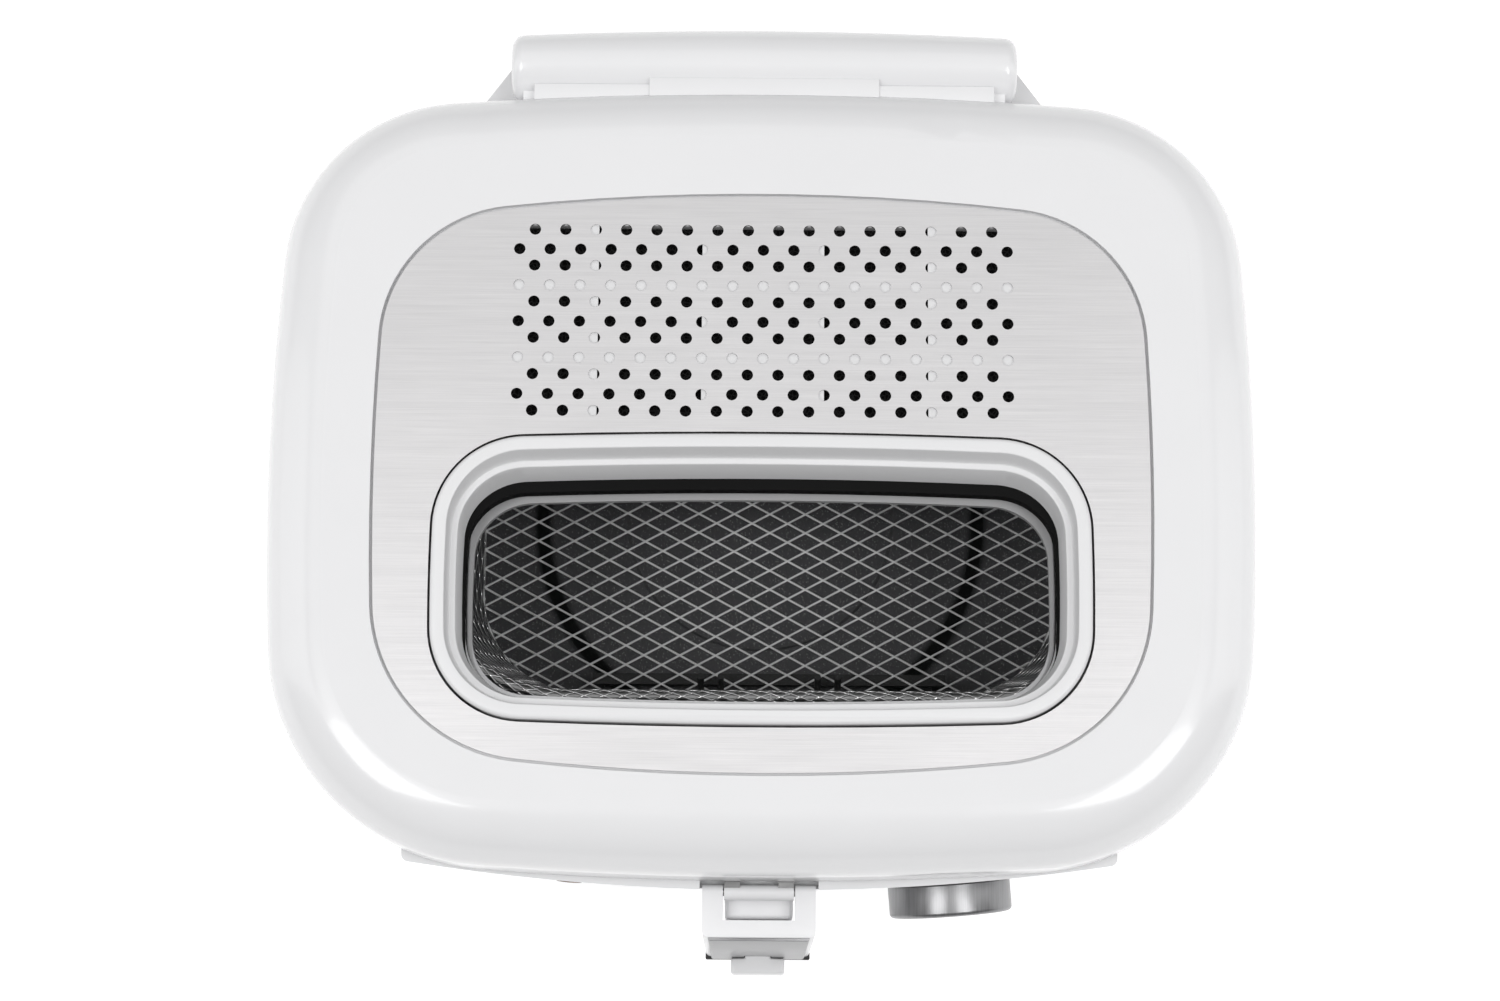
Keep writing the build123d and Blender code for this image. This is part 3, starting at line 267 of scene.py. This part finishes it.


# non-stick coating: charcoal with pale flecks, painted shade along the pressed groove and a painted
# highlight on the inner step
def speckledCoating(name, look):
    f = Finish(name, Specular_IOR_Level=0.2)
    fleck = f.cells("F1", look["fleckScale"])
    fine = f.noise(f.place(), look["grain"], detail=2.0)
    pale = (fleck < look["fleckSize"]) * (fine > 0.5)
    flecked = f.blend(pale, f.blend(fine, look["dark"], look["mid"]), look["pale"])
    low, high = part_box("inner_pot")
    middle = (low + high) / 2
    flat = f.place(scale=(1, 1, 0), shift=(-middle.x, -middle.y, 0))
    reach = f.node("ShaderNodeVectorMath", {"operation": "LENGTH"}, {0: flat}, out="Value")
    # painted shade: the pressed groove's slope darkened in the coating's colour
    groove = f.fade(abs(reach - look["groove"]), look["grooveWidth"] * 0.3, look["grooveWidth"])
    # painted highlight: a pale line along the inner step
    step = f.fade(abs(reach - look["step"]), 0.0, look["stepWidth"])
    grooveShaded = f.blend(groove, flecked, look["shade"])
    f.feed("Base Color", f.blend(step * look["stepHighlightAmount"], grooveShaded, look["stepHighlight"]))
    f.feed("Roughness", look["rough"] + (fine - 0.5) * 0.25)
    f.bump(fine, strength=0.2, distance=look["depth"])
    return f.mat


potCoat = speckledCoating("potCoating", {
    "fleckScale": 1100.0, "fleckSize": 0.26, "grain": 1500.0, "depth": 0.2 * mm, "rough": 0.42,
    "dark": (0.06, 0.06, 0.064), "mid": (0.13, 0.13, 0.135), "pale": (0.3, 0.3, 0.3),
    # shade is the painted groove shade; the step colour and its amount are a painted highlight
    "shade": grey(0.006), "stepHighlight": grey(0.16), "stepHighlightAmount": 0.35,
    "groove": 80.2 * mm, "grooveWidth": 4.8 * mm, "step": 48.6 * mm, "stepWidth": 1.6 * mm,
})


# grained dark mouldings and rubbers
darkGrain = {"grain": 1100.0, "cloud": 40.0, "depth": 0.2 * mm}


def darkMoulding(name, look):
    f = Finish(name, Specular_IOR_Level=look["shine"])
    grain = f.noise(f.place(), darkGrain["grain"], detail=3.0)
    cloud = f.noise(f.place(), darkGrain["cloud"], detail=3.0)
    f.feed("Base Color", f.blend(grain * 0.5 + cloud * 0.5, grey(look["dark"]), grey(look["light"])))
    f.feed("Roughness", look["rough"] + (grain - 0.5) * 0.2)
    f.bump(grain, strength=0.2, distance=darkGrain["depth"])
    return f.mat


blackPlastic = darkMoulding("blackPlastic", {"dark": 0.016, "light": 0.03, "rough": 0.5, "shine": 0.4})
footRubber = darkMoulding("footRubber", {"dark": 0.012, "light": 0.024, "rough": 0.75, "shine": 0.3})
sealRubber = darkMoulding("sealRubber", {"dark": 0.018, "light": 0.034, "rough": 0.65, "shine": 0.3})
sleeveBlack = darkMoulding("sleeveBlack", {"dark": 0.003, "light": 0.008, "rough": 0.7, "shine": 0.1})
coatedWire = darkMoulding("coatedWire", {"dark": 0.012, "light": 0.028, "rough": 0.5, "shine": 0.25})
gasketRubber = darkMoulding("gasketRubber", {"dark": 0.2, "light": 0.28, "rough": 0.6, "shine": 0.35})


# open filter foam: the cell hollows are painted shade, darker than the strands
def openFoam(name, look):
    f = Finish(name, Specular_IOR_Level=0.15, Roughness=0.95)
    cell = f.cells("DISTANCE_TO_EDGE", look["cells"])
    f.feed("Base Color", f.blend(cell * look["edge"], look["strand"], look["hollowShade"]))
    f.bump(cell, strength=0.6, distance=look["depth"])
    return f.mat


filterFoam = openFoam("filterFoam", {
    "cells": 700.0, "edge": 6.0, "depth": 1.0 * mm, "strand": grey(0.045), "hollowShade": grey(0.008),
})


# window glass: clear, a trace of haze
def clearGlass(name, look):
    f = Finish(name, Base_Color=(*look["tint"], 1), Roughness=0.06, Specular_IOR_Level=0.15)
    cloud = f.noise(f.place(), look["cloud"], detail=3.0)
    f.feed("Alpha", look["clear"] + cloud * look["haze"])
    return f.mat


windowClear = clearGlass("windowGlass", {
    "tint": (0.02, 0.024, 0.023), "clear": 0.02, "haze": 0.02, "cloud": 30.0,
})


# amber lamp lens with faint facets
def lampLens(name, look):
    f = Finish(name, Specular_IOR_Level=0.5, Coat_Weight=0.4, Roughness=0.18)
    facet = f.cells("F1", look["facets"])
    f.feed("Base Color", f.blend(facet, look["deep"], look["bright"]))
    f.bump(facet, strength=0.3, distance=look["depth"])
    return f.mat


lampAmber = lampLens("lampAmber", {
    "facets": 700.0, "depth": 0.4 * mm, "deep": (0.10, 0.05, 0.025), "bright": (0.2, 0.12, 0.07),
})

nodeFinish = {  # CAD node: its finish
    "outer_housing": bodyWhite, "front_panel": bodyWhite, "lid_shell": lidWhite, "hinge_cover": lidWhite,
    "hinge_bracket": bodyWhite, "release_button": handleWhite, "handle_yoke": handleWhite,
    "handle_slide": handleWhite, "handle_barrel": handleWhite, "window_bezel": bezelWhite,
    "filter_grille": innerWhite, "filter_tray": innerWhite, "top_deck": innerWhite,
    "lid_plate": plateSteel, "handle_trim": trimSteel, "thermostat_knob": knobMetal,
    "inner_lid": innerSteel, "heater_plate": innerSteel, "inner_pot": potCoat,
    "basket_rim": strapSteel, "basket_skids": coatedWire, "basket_bracket": strapSteel,
    "basket_floor": meshSteel, "basket_front": meshSteel, "basket_rear": meshSteel,
    "basket_left": meshSteel, "basket_right": meshSteel, "basket_corners": meshSteel,
    "hinge_pins": pinSteel, "hinge_springs": pinSteel, "handle_pins": pinSteel, "latch_catch": pinSteel,
    "release_spring": pinSteel, "thermostat_shaft": pinSteel, "heater_posts": pinSteel,
    "base_screws": screwSteel, "lid_screws": screwSteel, "heat_shield": innerSteel,
    "heating_element": heaterSteel, "thermal_cutout": heaterSteel,
    "base_plate": blackPlastic, "thermostat_body": blackPlastic, "terminal_block": blackPlastic,
    "cord_gland": blackPlastic, "handle_end_cap": blackPlastic,
    "rubber_feet": footRubber, "window_seal": sealRubber, "lid_gasket": gasketRubber,
    "filter_pad": filterFoam, "window_glass": windowClear, "pilot_lamp": lampAmber,
}
for node, obj in frame["nodes"].items():
    obj.data.materials.clear()
    obj.data.materials.append(nodeFinish[node])
print("finishes on", len(nodeFinish), "CAD nodes")


# how meshes are merged and where their shading breaks
making = {"merge": 0.002 * mm, "flat": 0.5, "crease": 40, "sharp": 35, "segments": 3}


def finishPiece(name, bm, material, body, slot, *nodes, crease=making["crease"]):
    mesh = bpy.data.meshes.new(name)
    bm.to_mesh(mesh)
    bm.free()
    mesh.shade_smooth()
    mesh.set_sharp_from_angle(angle=math.radians(crease))
    mesh.materials.append(material)
    piece = bpy.data.objects.new(name, mesh)
    scene.collection.objects.link(piece)
    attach(piece, body)
    if nodes:
        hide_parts(*nodes)
    return piece


def mergedCopy(node):  # a CAD node's triangles as one mesh, flat faces whole
    bm = bmesh.new()
    bm.from_mesh(frame["nodes"][node].data)
    bmesh.ops.remove_doubles(bm, verts=bm.verts, dist=making["merge"])
    bmesh.ops.dissolve_limit(bm, angle_limit=math.radians(making["flat"]), verts=bm.verts, edges=bm.edges)
    return bm


def bevelEdges(bm, edges, width, segments):
    bmesh.ops.bevel(
        bm, geom=edges, offset=width, offset_type="OFFSET", affect="EDGES", segments=segments, profile=0.5,
        material=-1, clamp_overlap=True,
    )
    return bm


def roundEdges(bm, width):
    sharp = math.radians(making["sharp"])
    hard = [e for e in bm.edges if len(e.link_faces) == 2 and e.calc_face_angle() > sharp]
    return bevelEdges(bm, hard, width, making["segments"])


def cutAt(bm, place, out, trim=False):  # a cut across the mesh, with what lies outside trimmed off
    whole = bm.verts[:] + bm.edges[:] + bm.faces[:]
    bmesh.ops.bisect_plane(bm, geom=whole, plane_co=place, plane_no=out, clear_outer=trim)


def bodyOf(node):
    return frame["nodes"][node]["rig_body"]


# mouldings and pressings with rounded edges: node, edge radius, slot
roundedPieces = {
    "handleFrame": ("handle_yoke", 0.8 * mm, "white_gloss"),
    "handleTab": ("handle_slide", 0.7 * mm, "white_gloss"),
    "handleBand": ("handle_trim", 0.5 * mm, "brushed_aluminium"),
    "handleBack": ("handle_end_cap", 0.5 * mm, "dark_plastic"),
    "releaseKey": ("release_button", 0.5 * mm, "white_gloss"),
    "thermostatDial": ("thermostat_knob", 0.6 * mm, "brushed_aluminium"),
    "hingeStand": ("hinge_bracket", 1.2 * mm, "white_gloss"),
    "glandCollar": ("cord_gland", 0.6 * mm, "dark_plastic"),
}
for piece, (node, radius, slot) in roundedPieces.items():
    rounded = roundEdges(mergedCopy(node), radius)
    finishPiece(piece, rounded, nodeFinish[node], bodyOf(node), slot, node)
print("rounded", len(roundedPieces), "pieces")


# window ring: its rear wall leans forward to the glass and its steps are soft
windowRing = {"edge": 1.7 * mm, "lean": 4.0 * mm}


def leaningRing():
    look = windowRing
    low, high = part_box("window_bezel")
    middle, half = (low + high) / 2, (high - low) / 2
    bm = roundEdges(mergedCopy("window_bezel"), look["edge"])
    bm.normal_update()
    for v in bm.verts:
        inward = v.normal.xy.dot(middle.xy - v.co.xy) > 0
        depth = (high.z - v.co.z) / (high.z - low.z)
        rear = min(max((v.co.y - middle.y) / half.y, 0.0), 1.0)
        if inward:
            v.co.y -= look["lean"] * depth * rear
    return bm


finishPiece("windowRing", leaningRing(), bezelWhite, "lid", "white_plain", "window_bezel")
print("window ring made")


# release spring, the coil that shortens as its key is pressed: copied onto a mesh of its own
spring = finishPiece(
    "releaseCoil", mergedCopy("release_spring"), pinSteel, "base", "bare_steel", "release_spring"
)
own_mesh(spring)
print("release spring made")


# hinge cover: its rear edge bows, the ends drawn in towards the lid
hingeCover = {"cuts": 24, "bow": 2.4 * mm, "edge": 0.7 * mm}


def hingeCoverShell():
    look = hingeCover
    low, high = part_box("hinge_cover")
    middle, half = (low.x + high.x) / 2, (high.x - low.x) / 2
    bm = roundEdges(mergedCopy("hinge_cover"), look["edge"])
    for cut in range(1, look["cuts"]):
        across = low.x + cut / look["cuts"] * 2 * half
        cutAt(bm, (across, 0, 0), (1, 0, 0))
    for v in bm.verts:
        back = (v.co.y - low.y) / (high.y - low.y)
        v.co.y -= look["bow"] * ((v.co.x - middle) / half) ** 2 * max(back, 0.0) ** 2
    return bm


finishPiece("hingeCoverShell", hingeCoverShell(), lidWhite, "lid", "white_gloss", "hinge_cover")


# perforated plate: the punched holes made round
platePunch = {
    "corner": 0.5 * mm, "segments": 2, "wall": 2.2 * mm, "upright": 0.9, "turn": 40, "crease": 35,
}


def perforatedPlate():
    look = platePunch
    bm = mergedCopy("lid_plate")
    corners = []
    turn = math.radians(look["turn"])
    for e in bm.edges:
        length = e.calc_length()
        upright = abs(e.verts[0].co.z - e.verts[1].co.z) > look["upright"] * length
        small = all(f.calc_perimeter() < 2 * (look["wall"] + length) for f in e.link_faces)
        if upright and small and len(e.link_faces) == 2 and e.calc_face_angle() > turn:
            corners.append(e)
    return bevelEdges(bm, corners, look["corner"], look["segments"])


finishPiece(
    "perforatedPlate", perforatedPlate(), plateSteel, "lid", "brushed_plate", "lid_plate",
    crease=platePunch["crease"],
)
print("lid pieces made")


# black sleeve low in the window's well, deeper at the rear, and the inner lid's pale rolled edge below it
windowSleeve = {"low": 0.1 * mm, "high": 6.0 * mm, "rear": 6.0 * mm, "side": 0.0, "reach": 1.2 * mm}
lidEdge = {"low": -6.9 * mm, "high": -4.2 * mm, "rear": 7.6 * mm, "side": 1.9 * mm, "reach": -0.4 * mm}


def wellRing(look):
    low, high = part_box("window_seal")
    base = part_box("window_bezel")[0].z
    middle, half = (low + high) / 2, (high - low) / 2
    bm = mergedCopy("window_seal")
    others = []  # all but the wall that faces into the well
    for face in bm.faces:
        outward = face.normal.dot(face.calc_center_median() - middle) > 0
        if abs(face.normal.z) > 0.5 or outward:
            others.append(face)
    bmesh.ops.delete(bm, geom=others, context="FACES")
    for v in bm.verts:
        v.co.z = base + (look["high"] if v.co.z > middle.z else look["low"])
    rims = [e for e in bm.edges if e.is_boundary]
    inner = bm.verts[:]
    made = bmesh.ops.extrude_edge_only(bm, edges=rims)["geom"]
    outer = [g for g in made if isinstance(g, bmesh.types.BMVert)]
    centred = Matrix.Translation(-middle)
    shrink = (1 - look["side"] / half.x, 1 - look["rear"] / 2 / half.y, 1)
    bmesh.ops.scale(bm, vec=shrink, space=centred, verts=inner)
    bmesh.ops.translate(bm, vec=(0, -look["rear"] / 2, 0), verts=inner)
    grow = (1 + look["reach"] / half.x, 1 + look["reach"] / half.y, 1)
    bmesh.ops.scale(bm, vec=grow, space=centred, verts=outer)
    bmesh.ops.bridge_loops(bm, edges=[e for e in bm.edges if e.is_boundary])
    bmesh.ops.recalc_face_normals(bm, faces=bm.faces)
    return bm


finishPiece("windowSleeve", wellRing(windowSleeve), sleeveBlack, "lid", "rubber_black")
finishPiece("innerLidEdge", wellRing(lidEdge), edgeGrey, "lid", "inner_aluminium")
print("window well made")


# basket of expanded mesh: diamonds cut from one sheet, walls wrapped round the floor's edge
basketMesh = {
    "cell": (13.0 * mm, 7.0 * mm), "strand": 0.8 * mm, "wallStrand": 0.6 * mm, "corner": 36 * mm,
    "flare": math.tan(math.radians(9)), "cornerCuts": 6, "floorMerge": 0.2 * mm, "merge": 0.05 * mm,
    "lap": 0.5 * mm, "crease": 180,
}


def diamondSheet(columns, rows, cell):  # a sheet of diamonds round the origin
    bm = bmesh.new()
    bmesh.ops.create_grid(bm, x_segments=columns, y_segments=rows, size=0.5)
    bmesh.ops.scale(bm, vec=(columns * cell[0], rows * cell[1], 1), verts=bm.verts)
    inner = [e for e in bm.edges if not e.is_boundary]
    bmesh.ops.poke(bm, faces=bm.faces)
    bmesh.ops.dissolve_edges(bm, edges=inner)
    return bm


def makeStrands(bm, thickness):  # each edge of the sheet becomes a strand
    bmesh.ops.wireframe(
        bm, faces=bm.faces, thickness=thickness, use_replace=True, use_boundary=True, use_even_offset=True
    )


def aroundLength(halfX, halfY, radius):
    return 4 * (halfX + halfY - 2 * radius) + 2 * math.pi * radius


# a point on a rounded rectangle, so far along from the middle of its front, and its outward direction
def roundedPlace(along, halfX, halfY, radius):
    straightX, straightY, arc = halfX - radius, halfY - radius, math.pi / 2 * radius
    runs = [(straightX, False)]
    for straight in (2 * straightY, 2 * straightX, 2 * straightY, straightX):
        runs += [(arc, True), (straight, False)]
    place, heading = Vector((0, -halfY)), 0.0
    for length, bends in runs:
        step = min(along, length)
        if bends:
            sweep = step / radius
            centre = place + radius * Vector((-math.sin(heading), math.cos(heading)))
            heading += sweep
            place = centre + radius * Vector((math.sin(heading), -math.cos(heading)))
        else:
            place = place + step * Vector((math.cos(heading), math.sin(heading)))
        along -= step
        if along <= 1e-9:
            break
    return place, Vector((math.sin(heading), -math.cos(heading)))


def basketFloor():
    look = basketMesh
    low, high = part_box("basket_floor")
    size, centre = high - low, (low + high) / 2
    columns, rows = int(size.x / look["cell"][0]) + 2, int(size.y / look["cell"][1]) + 2
    bm = diamondSheet(columns, rows, look["cell"])
    halfX, halfY, radius = size.x / 2, size.y / 2, look["corner"]
    cuts = look["cornerCuts"]
    for turn in range(4 * cuts):  # trim to the rounded corners
        sector, step = divmod(turn, cuts)
        angle = (sector + (step + 0.5) / cuts) * math.pi / 2
        out = Vector((math.cos(angle), math.sin(angle), 0))
        hold = Vector((math.copysign(halfX - radius, out.x), math.copysign(halfY - radius, out.y), 0))
        cutAt(bm, hold + out * radius, out, trim=True)
    for x, y in ((1, 0), (-1, 0), (0, 1), (0, -1)):  # and to the straight sides
        cutAt(bm, (x * halfX, y * halfY, 0), (x, y, 0), trim=True)
    bmesh.ops.remove_doubles(bm, verts=bm.verts, dist=look["floorMerge"])
    makeStrands(bm, look["strand"])
    bmesh.ops.translate(bm, vec=(centre.x, centre.y, (low.z + high.z) / 2), verts=bm.verts)
    return bm


def basketWalls():
    look = basketMesh
    low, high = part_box("basket_floor")
    size, centre = high - low, (low + high) / 2
    halfX, halfY, radius = size.x / 2, size.y / 2, look["corner"]
    around = aroundLength(halfX, halfY, radius)
    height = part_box("basket_front")[1].z - high.z
    columns = round(around / look["cell"][0])
    rows = round(height / look["cell"][1])
    bm = diamondSheet(columns, rows, look["cell"])
    wide, tall = columns * look["cell"][0], rows * look["cell"][1]
    for v in bm.verts:  # bend the sheet round the floor's outline
        rise = (v.co.y / tall + 0.5) * height
        along = (v.co.x / wide + 0.5) * around
        place, out = roundedPlace(along, halfX, halfY, radius)
        place = place + out * rise * look["flare"]
        v.co = (centre.x + place.x, centre.y + place.y, high.z - look["lap"] + rise)
    bmesh.ops.remove_doubles(bm, verts=bm.verts, dist=look["merge"])
    makeStrands(bm, look["wallStrand"])
    return bm


finishPiece(
    "basketFloorMesh", basketFloor(), meshSteel, "base", "bright_wire", "basket_floor",
    crease=basketMesh["crease"],
)
finishPiece(
    "basketWallMesh", basketWalls(), wallSteel, "base", "bright_wire",
    "basket_front", "basket_rear", "basket_left", "basket_right", "basket_corners",
    crease=basketMesh["crease"],
)


# the mesh's upper edge rolled round the rim wire
rimWrap = {"cell": (6.5 * mm, 2.4 * mm), "strand": 0.5 * mm, "stand": 0.35 * mm, "rows": 6}


def rimRoll():
    look = rimWrap
    low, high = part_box("basket_rim")
    wire = (high.z - low.z) / 2
    halfX, halfY = (high.x - low.x) / 2 - wire, (high.y - low.y) / 2 - wire
    centre = (low + high) / 2
    floorLow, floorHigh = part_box("basket_floor")
    radius = basketMesh["corner"] + halfX - (floorHigh.x - floorLow.x) / 2
    around = aroundLength(halfX, halfY, radius)
    columns = round(around / look["cell"][0])
    bm = diamondSheet(columns, look["rows"], look["cell"])
    wide, tall = columns * look["cell"][0], look["rows"] * look["cell"][1]
    reach = wire + look["stand"]
    for v in bm.verts:  # roll the strip round the wire, all the way along it
        turn = v.co.y / tall * 2 * math.pi
        place, out = roundedPlace((v.co.x / wide + 0.5) * around, halfX, halfY, radius)
        place = place + out * reach * math.cos(turn)
        v.co = (centre.x + place.x, centre.y + place.y, centre.z + reach * math.sin(turn))
    bmesh.ops.remove_doubles(bm, verts=bm.verts, dist=basketMesh["merge"])
    makeStrands(bm, look["strand"])
    return bm


finishPiece(
    "basketRimWrap", rimRoll(), wallSteel, "base", "bright_wire", crease=basketMesh["crease"]
)


# bent wire hooks that hold the handle bracket's straps to the mesh
strapHooks = {
    "wire": 1.2 * mm, "bend": 6.5 * mm, "spread": 3.6 * mm, "above": 12 * mm, "strap": 8 * mm,
    "sides": 8, "steps": 10,
}


def hookWires():
    look = strapHooks
    bm = bmesh.new()
    low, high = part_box("basket_bracket")
    floorLow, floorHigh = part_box("basket_floor")
    height = floorHigh.z + look["above"]
    wall = floorLow.y - look["above"] * basketMesh["flare"]
    for strap in (low.x + look["strap"] / 2, high.x - look["strap"] / 2):
        for side in (-1, 1):
            made = bmesh.ops.create_circle(bm, cap_ends=True, segments=look["sides"], radius=look["wire"])
            ring = made["verts"]
            start = Vector((strap + side * look["spread"], wall - look["bend"], height))
            bmesh.ops.translate(bm, vec=start, verts=ring)
            face = ring[0].link_faces[0]
            centre = start + Vector((0, look["bend"], 0))
            bmesh.ops.spin(
                bm, geom=[face] + list(face.edges) + list(face.verts), cent=centre, axis=(1, 0, 0),
                angle=math.pi, steps=look["steps"],
            )
    bmesh.ops.recalc_face_normals(bm, faces=bm.faces)
    return bm


finishPiece("strapHooks", hookWires(), coatedWire, "base", "bright_wire")
print("basket mesh made")


# pale floor, soft light and the camera
studio = {
    "floor": 6.0, "floorWhite": 0.9, "floorMottle": 0.01, "floorGlow": 0.4, "fill": 0.28,
    "lens": 76.8, "sensor": 36, "eye": (-3.84, -217.84, 1243.09), "tilt": 11.5, "roll": 0.4,
    "aim": (0, 0, 0.2),
}
bm = bmesh.new()
bmesh.ops.create_grid(bm, x_segments=1, y_segments=1, size=studio["floor"])
floorMesh = bpy.data.meshes.new("floor")
bm.to_mesh(floorMesh)
bm.free()
floor = bpy.data.objects.new("floor", floorMesh)
scene.collection.objects.link(floor)
pale = Finish(
    "paleFloor", Roughness=0.9, Emission_Strength=studio["floorGlow"], Emission_Color=(1, 1, 1, 1)
)
darker, paler = grey(studio["floorWhite"] - studio["floorMottle"]), grey(studio["floorWhite"])
pale.feed("Base Color", pale.blend(pale.noise(pale.place(), 3.0), darker, paler))
floorMesh.materials.append(pale.mat)


softBoxes = {  # place in metres, width and height, watts
    "KeyLeft": ((-0.8, -0.45, 1.9), (0.6, 0.9), 9.6),
    "SideLeft": ((-1.3, 0.1, 0.75), (0.6, 1.4), 3.2),
    "KeyRight": ((0.8, -0.45, 1.9), (0.6, 0.9), 9.6),
    "SideRight": ((1.3, 0.1, 0.75), (0.6, 1.4), 3.2),
    "Top": ((0, 0.5, 2.0), (2.4, 1.8), 9),
}


def softBox(name, at, towards, size, power):
    lamp = bpy.data.lights.new(name, "AREA")
    lamp.shape = "RECTANGLE"
    lamp.size, lamp.size_y = size
    lamp.energy = power
    holder = bpy.data.objects.new(name, lamp)
    holder.location = at
    holder.rotation_euler = (Vector(towards) - Vector(at)).to_track_quat("-Z", "Y").to_euler()
    scene.collection.objects.link(holder)


for name, (place, size, power) in softBoxes.items():
    softBox("softBox" + name, place, studio["aim"], size, power)

world = bpy.data.worlds.new("studio")
world.use_nodes = True
background = world.node_tree.nodes["Background"].inputs
background["Color"].default_value = (1, 1, 1, 1)
background["Strength"].default_value = studio["fill"]
scene.world = world
scene.view_settings.view_transform = "Standard"

tilt, roll = math.radians(studio["tilt"]), math.radians(studio["roll"])
ahead = Vector((0, math.sin(tilt), -math.cos(tilt)))
right = Vector((1, 0, 0))
down = ahead.cross(right)
rolledRight = math.cos(roll) * right - math.sin(roll) * down
rolledDown = math.sin(roll) * right + math.cos(roll) * down
camera = bpy.data.objects.new("camera", bpy.data.cameras.new("camera"))
camera.data.lens = studio["lens"]
camera.data.sensor_width = studio["sensor"]
camera.data.sensor_fit = "HORIZONTAL"
turned = Matrix((rolledRight, -rolledDown, -ahead)).transposed().to_4x4()
camera.matrix_world = Matrix.Translation(Vector(studio["eye"]) * mm) @ turned
scene.collection.objects.link(camera)
scene.camera = camera
print("studio set")
